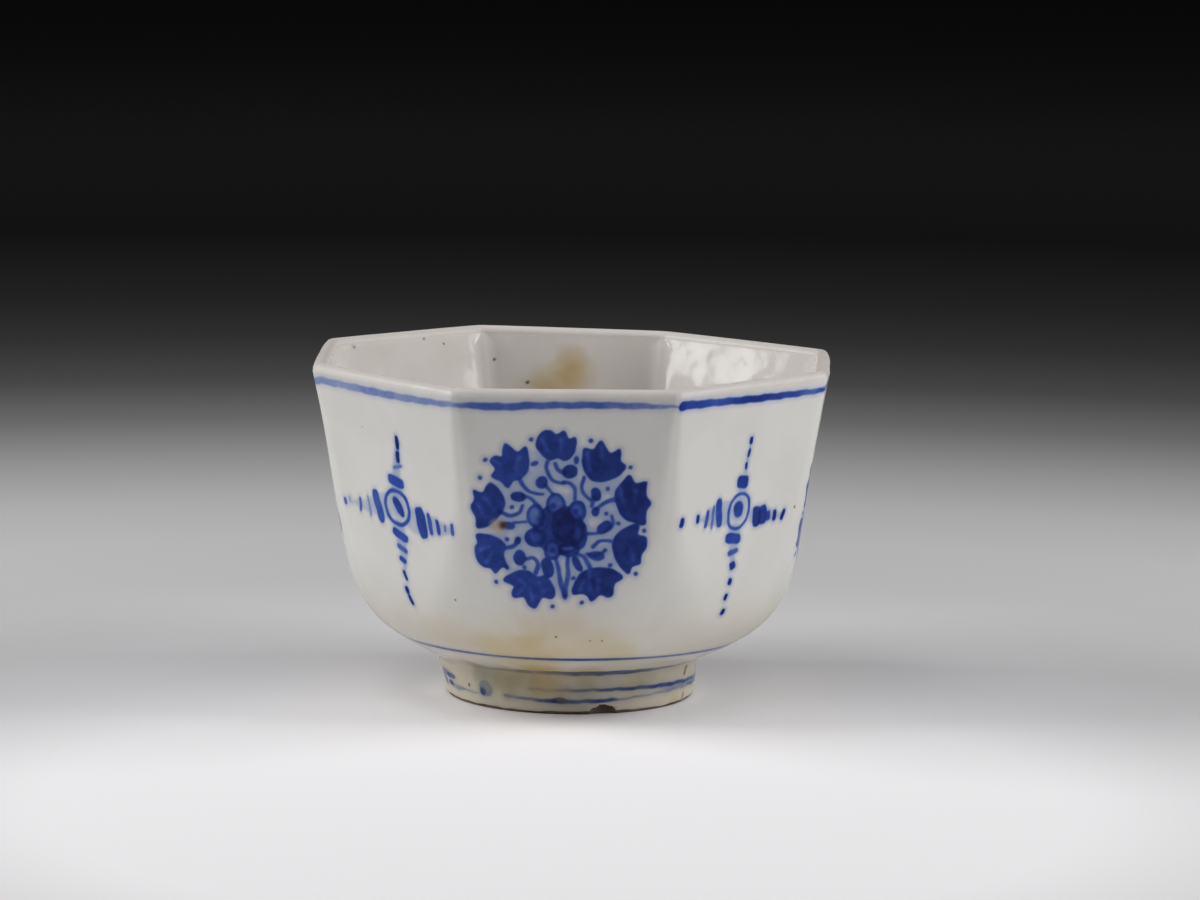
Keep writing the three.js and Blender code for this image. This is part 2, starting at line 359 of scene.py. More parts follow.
def turn_on_bowl(name, outline, closed=True, reshape=None, round_at=roundness):
    """Wraps a grid round the axis along an outline and gives it the bowl's eight sides."""
    outline = np.concatenate([outline, outline[:1]]) if closed else outline
    columns, rows = SIDES * COLUMNS_PER_SIDE, len(outline) - 1
    bm = bmesh.new()
    bmesh.ops.create_grid(bm, x_segments=columns, y_segments=rows, size=0.5)
    piece = finish_mesh(name, bm)
    x, y, _ = read_places(piece.data).T
    column = np.round((x + 0.5) * columns).astype(int)
    flat, height = outline[np.round((y + 0.5) * rows).astype(int)].T
    share = column % columns / (COLUMNS_PER_SIDE / 2)
    side = np.round(share / 2).astype(int)
    share -= 2 * side
    turned = np.sign(share) * station_angle(np.abs(share), round_at(height))
    if reshape:
        flat, height = reshape(side * SIDE_ANGLE + turned, flat, height)
    write_places(piece.data, place(side, turned, flat, height, round_at))
    close_seams(piece)
    shade_smooth(piece)
    return piece


def close_seams(piece):
    """Joins the edges that meet where a wrapped grid closes, and the points that meet on the axis."""
    bm = bmesh.new()
    bm.from_mesh(piece.data)
    bmesh.ops.remove_doubles(bm, verts=bm.verts, dist=SEAM_GAP * MM)
    bmesh.ops.recalc_face_normals(bm, faces=bm.faces)
    bm.to_mesh(piece.data)
    bm.free()


def thinned(path):
    """Every few points of a path that lies under a coat, with its ends."""
    return np.concatenate([path[:-1:UNDER_STEP], path[-1:]])


def coat(name, first, last, **shape):
    """A closed coat of glaze over a stretch of the glazed clay."""
    under = thinned(GLAZED_RUN[first:last])
    over = GLAZED_FACE[first:last]
    closed = over[-1, 0] > 0
    outline = [under, over[::-1]] if closed else [over, under[::-1]]
    return turn_on_bowl(name, np.concatenate(outline), closed, **shape)


# The bare rim of the foot: how ragged the glaze's lower edge is, and a chip in the rim to the front.
RAGGED = 0.28
CHIP_TURN = radians(16.4)
CHIP_HALF_BREADTH = 4.0
CHIP_HEIGHT = 3.4
CHIP_DEPTH = 0.9
RAGGED_REACH = 5
FOOT_RADIUS = FOOT_RIM_ACROSS / 2


def ragged(angle):
    """How far the glaze's lower edge strays up or down round the foot."""
    waves = [(5, 0.4, 0.3), (11, 2.0, 0.28), (23, 4.4, 0.25), (41, 1.1, 0.17)]
    return RAGGED * sum(size * np.sin(count * angle + phase) for count, phase, size in waves)


def chip_share(angle, height):
    """1 in the middle of the chip in the foot's rim, 0 outside it."""
    away = np.hypot((angle - CHIP_TURN) * FOOT_RADIUS / CHIP_HALF_BREADTH, height / CHIP_HEIGHT)
    rough = 0.1 * np.sin(angle * 150) + 0.07 * np.sin(angle * 320 + height * 2)
    return 1 - smooth_share(away + rough, 0.72, 1)


def glaze_edge(angle):
    """How high the glaze's lower edge lies round the foot: it runs up and over the chip."""
    away = (angle - CHIP_TURN) * FOOT_RADIUS / CHIP_HALF_BREADTH
    rough = 0.1 * np.sin(away * 5 + 3) + 0.05 * np.sin(away * 13)
    arch = np.clip(1 - away ** 2, 0, 1) ** 0.8 * (0.9 + rough)
    return GLAZE_END + ragged(angle) + (CHIP_HEIGHT - GLAZE_END) * arch


def reshape_foot_glaze(angle, flat, height):
    reach = 1 - smooth_share(height, GLAZE_END, GLAZE_END + RAGGED_REACH)
    return flat, height + reach * (glaze_edge(angle) - GLAZE_END)


def reshape_foot_clay(angle, flat, height):
    outside = smooth_share(flat, FOOT_RADIUS - 3, FOOT_RADIUS - 1)
    grit = 0.05 * np.sin(angle * 97 + height * 3) * np.sin(angle * 61 - height * 5) * (height > 0.01)
    return flat + grit - CHIP_DEPTH * chip_share(angle, height) * outside, height


# Rows along the clay that shows little or not at all, and how far short of the glaze it stays.
UNDERSIDE_ROWS = 6
UNDERSIDE_EDGE = 2
FOOT_CLAY_ROWS = 24
BEVEL_ROWS = 7
FOOT_RIM_ROWS = 8
CLAY_GAP = 0.01


def bowl_clay_outline():
    across = np.linspace(0, WALL_RUN[0, 0] - UNDERSIDE_EDGE, UNDERSIDE_ROWS)
    underside = np.stack([across, np.full(UNDERSIDE_ROWS, FOOT_HEIGHT)], 1)
    return np.concatenate([underside, thinned(GLAZED_RUN[FOOT_ROWS:])])


def foot_clay_outline():
    inner, outer = FOOT_RECESS_RADIUS, foot_across_at(0)
    top = FOOT_HEIGHT - CLAY_GAP
    turn = np.linspace(0, pi / 2, BEVEL_ROWS)[:, None]
    out = FOOT_RIM_BEVEL * np.hstack([np.sin(turn), -np.cos(turn)])
    back = FOOT_RIM_BEVEL * np.hstack([np.cos(turn), np.sin(turn)])
    bevel_out = point(outer - FOOT_RIM_BEVEL, FOOT_RIM_BEVEL) + out
    bevel_in = point(inner + FOOT_RIM_BEVEL, FOOT_RIM_BEVEL) - back
    rise = np.linspace(FOOT_RIM_BEVEL, top, FOOT_CLAY_ROWS)[1:]
    side = np.stack([foot_across_at(rise), rise], 1)
    down = np.linspace(top, FOOT_RIM_BEVEL, FOOT_CLAY_ROWS)
    recess = np.stack([np.full(FOOT_CLAY_ROWS, inner), down], 1)
    across = np.linspace(inner + FOOT_RIM_BEVEL, outer - FOOT_RIM_BEVEL, FOOT_RIM_ROWS)[1:-1]
    rim = np.stack([across, np.zeros(len(across))], 1)
    return np.concatenate([rim, bevel_out, side, recess, bevel_in[1:]])


def recess_outline():
    path = foot_recess()
    depth = thinning_glaze(path[:, 1], GLAZE_RECESS_END)
    return np.concatenate([coat_over(path, depth), thinned(path)[::-1]])


bowl_clay = turn_on_bowl("bowl_clay", bowl_clay_outline(), closed=False)
foot_clay = turn_on_bowl("foot_clay", foot_clay_outline(), reshape=reshape_foot_clay)
outer_wall_glaze = coat("outer_wall_glaze", FOOT_ROWS - 1, CROWN_ROWS)
inner_wall_glaze = coat("inner_wall_glaze", CROWN_ROWS - 1, len(GLAZED_RUN), round_at=pooled_roundness)
foot_side_glaze = coat("foot_side_glaze", 0, FOOT_ROWS, reshape=reshape_foot_glaze)
recess_floor_glaze = turn_on_bowl("recess_floor_glaze", recess_outline(), closed=False)


# Brushwork. Marks are laid on the points of a flat sketch, in millimetres, by each point's distance from
# them: how soft an edge is, how far and how strongly the blue bleeds, how the hand trembles, how full a dab
# is, and the distance given to points that are not near.
SOFT_EDGE = 0.44
BLEED_REACH = 1.9
BLEED_STRENGTH = 0.62
TREMBLE = 0.1
DAB_FULLNESS = 3.4
FAR_OFF = 20


class Sketch:
    """Brush marks laid one over another on the points of a flat sketch."""

    def __init__(self, points):
        self.points = points
        self.ink = np.zeros(len(points))
        self.bleed = np.zeros(len(points))

    def lay(self, distance, ink):
        """Lays a mark, given each point's distance outside its edge, and lets some of its blue bleed out."""
        covered = 1 - smooth_share(distance, -SOFT_EDGE, SOFT_EDGE)
        self.ink += (1 - self.ink) * covered * ink
        bled = ink ** 0.5 * (1 - smooth_share(distance, -SOFT_EDGE, BLEED_REACH))
        self.bleed = 1 - (1 - self.bleed) * (1 - BLEED_STRENGTH * bled)

    def tint(self, distance, bleed, edge):
        """Lets some blue spread over a broad mark, fading out at its edge."""
        self.bleed = np.maximum(self.bleed, bleed * (1 - smooth_share(distance, -edge, 0)))

    def clear(self, distance, share):
        """Takes some of the spread blue away again, softly."""
        self.bleed *= 1 - share * (1 - smooth_share(distance, -1, 0.6))

    def wipe(self, distance, share):
        """Thins the blue inside a mark, where the brush lifted."""
        covered = 1 - smooth_share(distance, -2 * SOFT_EDGE, 2 * SOFT_EDGE)
        self.ink *= 1 - covered * share


def trembled(points):
    """The points as an unsteady hand finds them."""
    x, y = points.T
    right = np.sin(0.9 * y + 0.7 * np.sin(0.5 * x)) + 0.4 * np.sin(1.9 * y + 1.1 * x)
    up = np.sin(0.8 * x + 0.9 * np.sin(0.6 * y)) + 0.4 * np.sin(1.7 * x - 1.2 * y + 1)
    return points + TREMBLE * np.stack([right, up], 1)


def turned_to(points, centre, degrees):
    """The points seen from a centre, in axes turned by an angle."""
    x, y = (points - centre).T
    c, s = cos(radians(degrees)), sin(radians(degrees))
    return x * c + y * s, y * c - x * s


def from_oval(points, centre, radii, degrees=0, fullness=2):
    """Distance outside an oval, or with more fullness a dab with rounded corners."""
    x, y = turned_to(points, centre, degrees)
    away = (np.abs(x / radii[0]) ** fullness + np.abs(y / radii[1]) ** fullness) ** (1 / fullness)
    return np.hypot(x, y) * (1 - 1 / np.maximum(away, 0.01))


def from_ring(points, centre, radii, breadth, degrees=0):
    return np.abs(from_oval(points, centre, radii, degrees)) - breadth / 2


def from_stroke(points, path, breadths):
    """Distance from a stroke along a path, as broad at each of its points as breadths says."""
    nearest = np.full(len(points), np.inf)
    for start, end, first, last in zip(path, path[1:], breadths, breadths[1:]):
        start, along = np.array(start), np.subtract(end, start)
        share = np.clip((points - start) @ along / (along @ along), 0, 1)
        gap = np.linalg.norm(points - start - share[:, None] * along, axis=1)
        nearest = np.minimum(nearest, gap - (first + (last - first) * share) / 2)
    return nearest


def from_dab(points, start, end, breadth):
    """Distance from one flat dab of the brush between two ends, with its corners well rounded."""
    tilt = np.degrees(np.arctan2(end[1] - start[1], end[0] - start[0]))
    radii = np.array([np.hypot(*np.subtract(end, start)), breadth]) / 2
    return from_oval(points, (np.array(start) + end) / 2, radii, tilt, DAB_FULLNESS)


def from_outline(points, outline):
    """Distance outside a closed outline, less than 0 inside it, or the far-off distance past its reach."""
    outline = np.array(outline)
    low, high = outline.min(0) - 2 * BLEED_REACH, outline.max(0) + 2 * BLEED_REACH
    near = ((points > low) & (points < high)).all(1)
    x, y = points[near].T
    nearest = np.full(len(x), np.inf)
    inside = np.zeros(len(x), bool)
    for (x0, y0), (x1, y1) in zip(outline, np.roll(outline, -1, 0)):
        run, rise = x1 - x0, y1 - y0
        share = np.clip(((x - x0) * run + (y - y0) * rise) / (run * run + rise * rise), 0, 1)
        nearest = np.minimum(nearest, np.hypot(x - x0 - share * run, y - y0 - share * rise))
        inside ^= ((y0 > y) != (y1 > y)) & (x < x0 + (y - y0) * run / (rise or 1))
    found = np.full(len(points), float(FAR_OFF))
    found[near] = np.where(inside, -nearest, nearest)
    return found


def curve_through(path, steps=6, closed=False):
    """A smooth path through a few points."""
    path = np.array(path, float)
    if len(path) < 3:
        return path
    ends = [2 * path[0] - path[1], *path, 2 * path[-1] - path[-2]]
    if closed:
        ends = [path[-1], *path, path[0], path[1]]
    found = [path[0]]
    for a, b, c, d in zip(ends, ends[1:], ends[2:], ends[3:]):
        for t in np.linspace(0, 1, steps + 1)[1:]:
            found.append(0.5 * (2 * b + (c - a) * t + (2 * a - 5 * b + 4 * c - d) * t * t
                                + (3 * b - 3 * c + d - a) * t ** 3))
    return np.array(found[:-1] if closed else found)


def with_soft_corners(outline, times=2):
    for _ in range(times):
        outline = (np.roll(outline, 1, 0) + 2 * outline + np.roll(outline, -1, 0)) / 4
    return outline


# The roundel, in mm to the right of its middle and up. Nine flower heads, each with how strong its blue
# is, its outline from petal tip to notch and round its base, and the thin places between its petals.
FLOWER_HEADS = [
    (0.72,
     [(-11.1, 11.5), (-8.4, 14.4), (-8.6, 18.3), (-9.2, 21.4), (-11.6, 19.4), (-14.5, 22.4), (-15.7, 20.4),
      (-15.8, 18.1), (-17.8, 18.4), (-19.3, 16.8), (-17.4, 14.6), (-19.2, 12.3), (-16.1, 11.0),
      (-14.1, 8.9), (-13.0, 11.2)], [[(-18.2, 17.2), (-16.4, 16.0)], [(-11.2, 18.0), (-12.0, 14.6)]]),
    (0.78,
     [(-2.8, 17.2), (-5.6, 19.9), (-6.4, 22.3), (-4.9, 25.6), (-2.5, 25.9), (-0.8, 24.7), (1.3, 26.2),
      (2.4, 23.5), (4.4, 24.0), (4.7, 21.6), (3.5, 18.8), (1.4, 17.2), (-0.6, 18.0)],
     [[(-4.6, 23.4), (-3.4, 20.4)], [(0.6, 23.6), (0.4, 20.4)]]),
    (0.88,
     [(8.4, 11.8), (6.3, 15.8), (6.6, 21.0), (9.3, 20.3), (11.6, 23.5), (13.7, 19.0), (16.8, 21.1),
      (16.5, 17.3), (18.4, 16.0), (17.0, 13.8), (14.6, 12.1), (12.0, 11.2)],
     [[(7.6, 19.6), (8.2, 14.6)], [(11.4, 21.0), (11.6, 18.4)]]),
    (0.92,
     [(15.2, 6.2), (15.6, 8.9), (17.2, 11.2), (19.3, 13.3), (20.9, 10.3), (24.1, 11.6), (23.7, 7.2),
      (25.2, 5.2), (23.8, 2.6), (23.6, -1.6), (20.1, -0.5), (18.0, 0.5), (16.1, 3.0)],
     [[(16.6, 9.4), (17.6, 5.6)], [(21.0, 8.6), (20.6, 5.2)]]),
    (0.86,
     [(20.0, -1.2), (16.5, -3.2), (14.7, -6.2), (14.6, -9.3), (16.2, -12.9), (19.0, -15.9), (19.9, -13.4),
      (22.6, -12.9), (22.5, -10.4), (24.1, -7.4), (24.0, -4.8), (21.5, -4.4), (22.0, -1.6)],
     [[(20.4, -11.6), (19.6, -8.4)]]),
    (0.88,
     [(5.8, -15.6), (9.8, -13.9), (14.4, -14.4), (17.6, -16.6), (15.0, -18.6), (14.9, -21.6),
      (13.2, -22.8), (10.8, -21.7), (8.6, -24.2), (6.9, -21.7), (3.1, -21.9), (4.4, -17.7)],
     [[(8.0, -15.2), (8.3, -20.4)], [(10.6, -17.6), (10.4, -20.4)], [(5.6, -20.6), (6.6, -18.0)]]),
    (0.74,
     [(-16.4, -18.1), (-13.1, -15.5), (-9.3, -15.1), (-6.4, -17.0), (-4.1, -16.4), (-1.5, -20.7),
      (-2.5, -23.6), (-5.3, -22.6), (-6.8, -26.2), (-9.2, -25.5), (-10.4, -22.8), (-13.4, -23.2),
      (-13.9, -21.5), (-12.9, -19.5)],
     [[(-11.4, -18.0), (-9.0, -20.2)], [(-8.4, -20.8), (-8.0, -23.8)], [(-12.0, -22.0), (-10.0, -20.0)],
      [(-5.0, -21.0), (-5.8, -18.6)]]),
    (0.72,
     [(-23.7, -4.7), (-19.8, -4.6), (-15.2, -7.2), (-15.9, -10.7), (-14.6, -14.5), (-16.6, -14.2),
      (-18.5, -16.5), (-19.9, -14.5), (-22.3, -14.3), (-24.0, -12.5), (-24.7, -8.9), (-23.3, -7.1)],
     [[(-22.6, -9.4), (-20.0, -8.2)], [(-21.0, -12.8), (-19.2, -10.4)]]),
    (0.8,
     [(-19.5, 10.8), (-16.6, 8.4), (-15.1, 4.5), (-16.5, 1.3), (-19.1, -1.5), (-23.6, -3.1), (-23.3, 0.4),
      (-25.1, 3.4), (-23.7, 5.3), (-23.9, 8.5), (-21.2, 7.4)],
     [[(-20.8, 6.2), (-18.2, 2.4)], [(-22.8, 4.2), (-20.6, 0.6)]]),
]
HEAD_CURVE_STEPS = 4
HEAD_GROWTH = 0.1
HEAD_INK = 0.92
HEAD_DEPTH = 2.4
HEAD_DEPTH_INK = 0.25
THIN_PLACE_BREADTH = 1.1
THIN_PLACE_SHARE = 0.36

# The flower in the middle: its dark ground, then each petal's middle and radii, the middle and radii of
# its lighter part, how much of the blue is left there, and its eye.
MIDDLE_GROUND = ((-0.4, -3.0), (7.2, 7.4))
MIDDLE_PETALS = [
    ((-1.2, 4.4), (2.7, 3.3), (-1.1, 4.5), (1.9, 2.5), 0.5, (-1.8, 3.9)),
    ((4.7, 2.4), (2.7, 3.2), (4.6, 2.5), (1.6, 2.0), 0.6, (4.4, 2.2)),
    ((-6.7, 1.0), (2.5, 3.6), (-7.0, 1.0), (1.7, 2.6), 0.46, (-5.6, -0.2)),
    ((-6.7, -5.3), (3.2, 2.8), (-6.7, -5.2), (1.5, 1.3), 0.62, None),
    ((-2.2, -9.0), (2.4, 3.0), (-2.2, -8.9), (1.6, 2.1), 0.55, (-2.2, -9.0)),
    ((2.4, -8.7), (3.0, 2.2), (2.2, -8.4), (1.7, 0.5), 0.5, None),
    ((5.0, -4.4), (2.6, 4.4), (4.9, -4.2), (1.0, 1.9), 0.74, None),
]
MIDDLE_HEART = ((0.8, -1.6), (3.3, 5.0))
PETAL_INK = 0.72
HEART_INK = 0.9
EYE_RADII = (0.75, 0.85)
EYE_INK = 0.45

# Thin stems and scrolls: the path, and the breadth at its two ends, which the brush makes fuller.
STEM_FULLNESS = 1.35
STEM_INK = 0.54
STEMS = [
    ([(-3.2, 16.8), (-3.6, 14.9), (-2.9, 12.7), (-1.4, 11.1), (1.1, 10.7)], 0.9, 0.7),
    ([(1.1, 11.2), (3.0, 10.5), (4.3, 8.8), (4.1, 6.0)], 0.8, 0.8),
    ([(-1.1, 16.2), (-0.4, 14.7), (1.3, 13.6)], 0.9, 1.0),
    ([(-11.2, 11.7), (-9.8, 9.4), (-7.7, 7.8), (-4.7, 7.5)], 0.9, 0.7),
    ([(-3.7, 9.9), (-2.1, 7.6)], 0.8, 0.7),
    ([(-10.0, 6.9), (-7.6, 5.7), (-5.5, 3.3)], 0.8, 0.9),
    ([(-16.5, 2.1), (-14.0, 1.1), (-11.3, 1.7), (-10.4, 3.8)], 1.0, 0.8),
    ([(-12.8, -0.9), (-9.4, -0.9)], 0.6, 0.6),
    ([(-14.9, -8.4), (-12.9, -7.8), (-11.5, -6.0)], 0.9, 1.1),
    ([(-9.4, -11.8), (-7.4, -11.4), (-6.2, -13.2), (-7.0, -15.7)], 0.8, 1.0),
    ([(-1.1, -11.6), (-0.2, -17.2), (1.0, -22.1)], 0.9, 1.1),
    ([(2.1, -10.9), (2.0, -16.1), (1.2, -22.1)], 0.9, 1.1),
    ([(4.5, -10.1), (6.8, -11.2), (8.1, -13.8)], 0.8, 1.1),
    ([(7.4, -10.0), (9.7, -10.4), (11.8, -9.6)], 0.7, 0.8),
    ([(14.1, -6.2), (10.9, -6.2), (9.0, -7.8)], 0.8, 0.9),
    ([(14.4, 1.1), (14.6, -1.3), (12.5, -3.4), (7.9, -4.1)], 0.8, 0.7),
    ([(15.6, 6.1), (12.5, 5.1), (10.2, 3.3)], 1.0, 0.9),
    ([(9.3, 6.8), (8.8, 4.2)], 1.0, 0.9),
    ([(6.6, 12.4), (6.1, 9.4), (6.9, 7.2), (8.2, 6.0)], 0.8, 0.8),
]

# Leaves and buds: the middle, the radii, the tilt and the strength.
LEAF_INK = 0.92
LEAVES = [
    ((2.9, 14.1), (2.2, 2.0), 30, 0.82),
    ((-5.0, 10.9), (1.7, 1.8), 0, 0.7),
    ((-11.5, 6.6), (2.2, 1.5), -8, 0.86),
    ((4.6, 17.4), (0.8, 1.2), 0, 0.6),
    ((-14.4, -1.9), (1.9, 1.2), -5, 0.6),
    ((-11.7, -6.3), (0.9, 1.1), 0, 0.6),
    ((-11.3, -11.4), (1.7, 2.3), 10, 0.78),
    ((-3.6, -14.2), (1.7, 3.1), 10, 0.8),
    ((4.7, -12.9), (1.1, 2.6), 25, 0.78),
    ((10.0, -10.5), (2.4, 1.4), -10, 0.66),
    ((12.2, -2.0), (2.3, 1.5), 35, 0.82),
    ((10.0, 7.6), (1.4, 2.0), 0, 0.88),
    ((9.9, 2.5), (1.1, 1.4), 0, 0.7),
    ((-6.8, 16.4), (1.2, 0.7), 25, 0.55),
]

DOTS = [
    (-7.7, 23.4), (8.7, 23.2), (-20.5, 17.4), (19.6, 15.4), (-22.1, 12.1), (23.4, -3.1), (21.1, -15.8),
    (5.9, -24.4), (-2.2, -25.7), (-18.2, -18.8), (13.3, 9.1), (12.9, 1.8), (16.1, -1.0), (12.4, -8.9),
    (14.0, -13.3), (3.5, -17.2), (-10.0, -14.2), (-13.3, 3.5), (-14.8, -5.9), (1.1, -22.9), (-15.0, -14.3),
]
DOT_RADIUS = 0.65
DOT_INK = 0.55

# The blue that spread between the flowers, and where less of it did.
SPREAD_RADII = (23, 23.5)
SPREAD_STRENGTH = 0.6
SPREAD_EDGE = 4
CLEAR_SHARE = 0.5
CLEAR_PLACES = [
    ((0.6, 8.8), (2.6, 1.6)), ((9.9, -0.7), (2.2, 1.7)), ((-6.8, -11.6), (1.6, 1.6)),
    ((1.0, -14.4), (0.9, 3.6)), ((-12.7, 2.4), (2.2, 1.2)), ((11.7, -6.2), (2.2, 1.1)),
    ((-20.0, -3.7), (3.2, 0.9)), ((-7.6, 16.6), (1.2, 2.4)), ((-13.4, -5.6), (1.6, 2.0)),
    ((12.4, 6.6), (2.4, 1.1)), ((5.6, 13.2), (1.0, 2.0)), ((-12.0, -13.4), (2.0, 1.2)),
]


def paint_head(sketch, strength, outline, thin_places):
    """A flower head from the side, thinner where its petals part and deeper towards its middle."""
    at = sketch.points
    edge = from_outline(at, with_soft_corners(curve_through(outline, HEAD_CURVE_STEPS, closed=True)))
    sketch.lay(edge - HEAD_GROWTH, HEAD_INK * strength)
    for path in thin_places:
        sketch.wipe(from_stroke(at, path, [THIN_PLACE_BREADTH, 0.6 * THIN_PLACE_BREADTH]), THIN_PLACE_SHARE)
    sketch.lay(edge + HEAD_DEPTH, HEAD_DEPTH_INK * strength)


def paint_middle_flower(sketch):
    at = sketch.points
    middle, radii = MIDDLE_GROUND
    sketch.lay(from_oval(at, middle, radii), PETAL_INK)
    for middle, radii, light, light_radii, thinned_to, eye in MIDDLE_PETALS:
        sketch.lay(from_oval(at, middle, radii), PETAL_INK)
        sketch.wipe(from_oval(at, light, light_radii), 1 - thinned_to)
        if eye:
            sketch.lay(from_oval(at, eye, EYE_RADII), EYE_INK)
    middle, radii = MIDDLE_HEART
    sketch.lay(from_oval(at, middle, radii), HEART_INK)


def paint_roundel(sketch):
    at = sketch.points
    sketch.tint(from_oval(at, (0, 0), SPREAD_RADII), SPREAD_STRENGTH, SPREAD_EDGE)
    for middle, radii in CLEAR_PLACES:
        sketch.clear(from_oval(at, middle, radii), CLEAR_SHARE)
    for path, first, last in STEMS:
        path = curve_through(path)
        breadths = STEM_FULLNESS * np.linspace(first, last, len(path))
        sketch.lay(from_stroke(at, path, breadths), STEM_INK)
    for middle, radii, tilt, strength in LEAVES:
        sketch.lay(from_oval(at, middle, radii, tilt), LEAF_INK * strength)
    for head in FLOWER_HEADS:
        paint_head(sketch, *head)
    paint_middle_flower(sketch)
    for dot in DOTS:
        sketch.lay(from_oval(at, dot, (DOT_RADIUS, DOT_RADIUS)), DOT_INK)


# The crosses of short strokes, in mm to the right of the ring's middle and up: where each stroke
# starts and ends, its breadth and its strength. Then the ring's radii, tilt and breadth, with the middle,
# radii and tilt of its core. Pale washes lie under the strokes.
WASH_EDGE = 1.4
RING_TINT = 0.5
RING_TINT_EDGE = 2.4
RING_TINT_MIDDLE = (0, 0.6)
RING_INK = 0.54
CORE_INK = 0.64
LEFT_CROSS = [
    (3.8, 21.4, 3.5, 17.4, 1.5, 0.97), (3.3, 17.0, 3.0, 13.4, 1.6, 0.93), (0.2, 11.9, 4.4, 12.6, 1.2, 0.36),
    (-2.4, 8.3, 4.3, 7.2, 3.3, 0.56), (-3.4, -7.0, 2.9, -9.2, 2.7, 0.58),
    (-2.1, -11.2, 2.2, -12.9, 1.8, 0.4), (-1.8, -14.9, 1.0, -15.9, 1.6, 0.62),
    (-0.5, -18.4, 0.4, -21.3, 1.1, 0.85), (-0.7, -23.3, 0.0, -25.4, 1.2, 0.97),
    (0.0, -25.6, 0.9, -28.5, 1.1, 0.97), (-9.3, 4.2, -7.4, -5.4, 3.1, 0.5),
    (-12.6, 2.1, -12.2, -4.3, 1.2, 0.26), (-16.2, 1.1, -16.5, -3.4, 1.2, 0.42),
    (-21.0, 0.9, -20.9, -1.2, 0.9, 0.26), (-23.4, 0.1, -23.2, -2.1, 1.5, 0.42),
    (9.2, 1.5, 10.4, -7.7, 4.0, 0.62), (13.0, 0.1, 13.7, -6.4, 1.7, 0.52),
    (16.3, -1.4, 16.9, -5.9, 1.6, 0.58), (19.6, -2.4, 19.6, -4.6, 1.0, 0.36),
    (22.5, -1.8, 22.5, -5.4, 1.4, 0.5),
]
LEFT_RINGS = ((5.1, 5.0), 10, 1.25, (0.6, 0.4), (1.7, 3.2), 30)
LEFT_WASHES = [
    ([(3.6, 21), (1.2, 9), (0.8, 5)], [2.0, 5.0, 6.5], 0.62),
    ([(-0.4, -6), (0.4, -13), (0.2, -19)], [6.5, 4.5, 2.0], 0.6),
    ([(-6, 0), (-12, -1), (-20, -0.8)], [9, 6, 2.5], 0.4),
    ([(7, -3), (14, -3.6), (21.5, -4)], [9, 7.5, 4], 0.45),
]
RIGHT_CROSS = [
    (1.7, 21.6, 1.6, 19.5, 1.2, 0.93), (1.5, 18.2, 1.4, 15.8, 0.9, 0.8), (1.0, 14.2, 0.8, 12.3, 0.9, 0.8),
    (1.5, 20.6, 0.9, 11.6, 0.3, 0.2), (-1.9, 8.6, 2.6, 8.4, 3.8, 0.74), (-4.3, -7.6, 2.0, -8.2, 3.2, 0.62),
    (-2.5, -12.5, 1.6, -11.4, 1.8, 0.5), (-1.2, -16.4, 0.9, -15.5, 2.1, 0.86),
    (-0.7, -21.6, -0.1, -19.7, 1.4, 0.92), (-1.2, -26.2, -0.8, -24.4, 1.2, 0.97),
    (-1.3, -30.6, -0.6, -28.8, 1.4, 0.97), (-8.7, 4.6, -7.5, -4.0, 2.6, 0.56),
    (-10.4, 2.8, -10.5, -4.4, 1.2, 0.34), (-12.5, 1.7, -13.2, -3.5, 1.4, 0.5),
    (-16.5, 0.6, -16.6, -1.9, 1.2, 0.9), (-22.4, 0.4, -23.0, -2.5, 1.5, 0.88),
    (7.3, 0.6, 8.2, -5.3, 3.4, 0.78), (9.9, 0.8, 10.8, -4.8, 3.2, 0.72), (12.4, -1.2, 13.0, -4.1, 1.8, 0.6),
    (15.4, -1.3, 15.4, -4.4, 1.5, 0.86), (19.5, -1.4, 18.6, -4.4, 1.4, 0.88),
]
RIGHT_RINGS = ((4.1, 5.2), -14, 1.0, (-0.2, 0.6), (2.0, 2.5), 0)
RIGHT_WASHES = [
    ([(1.6, 20), (0.8, 9), (0.4, 5)], [1.2, 3.5, 5.0], 0.35),
    ([(-0.8, -6), (-0.6, -12), (-0.4, -17)], [6.5, 4.0, 2.5], 0.55),
    ([(-6, 0), (-11, -0.6), (-15, -1)], [9, 7, 2.5], 0.5),
    ([(7, -2), (11, -2.4), (18, -3)], [6.5, 6, 3], 0.5),
]


def paint_cross(sketch, strokes, rings, washes):
    at = sketch.points
    for path, breadths, strength in washes:
        sketch.tint(from_stroke(at, path, breadths), strength, WASH_EDGE)
    for x0, y0, x1, y1, breadth, ink in strokes:
        sketch.lay(from_dab(at, (x0, y0), (x1, y1), breadth), ink)
    radii, tilt, breadth, core, core_radii, core_tilt = rings
    sketch.tint(from_oval(at, RING_TINT_MIDDLE, radii, tilt), RING_TINT, RING_TINT_EDGE)
    sketch.lay(from_ring(at, (0, 0), radii, breadth, tilt), RING_INK)
    sketch.lay(from_oval(at, core, core_radii, core_tilt), CORE_INK)


def on_outside(side, turned, height, lift):
    """A place on the outer face of the glaze, by side, angle from its middle and height, lifted off it."""
    out, up = [np.interp(height, OUTSIDE_FACE[:, 1], way) for way in OUTSIDE_WAY.T]
    return place(side, turned, outside_radius(height) + out * lift, height + up * lift)


# The least ink or bleed that a skin still carries, and the sharpest turn that is shaded smooth on it.
LEAST_BLUE = 0.012
SKIN_CREASE = radians(60)


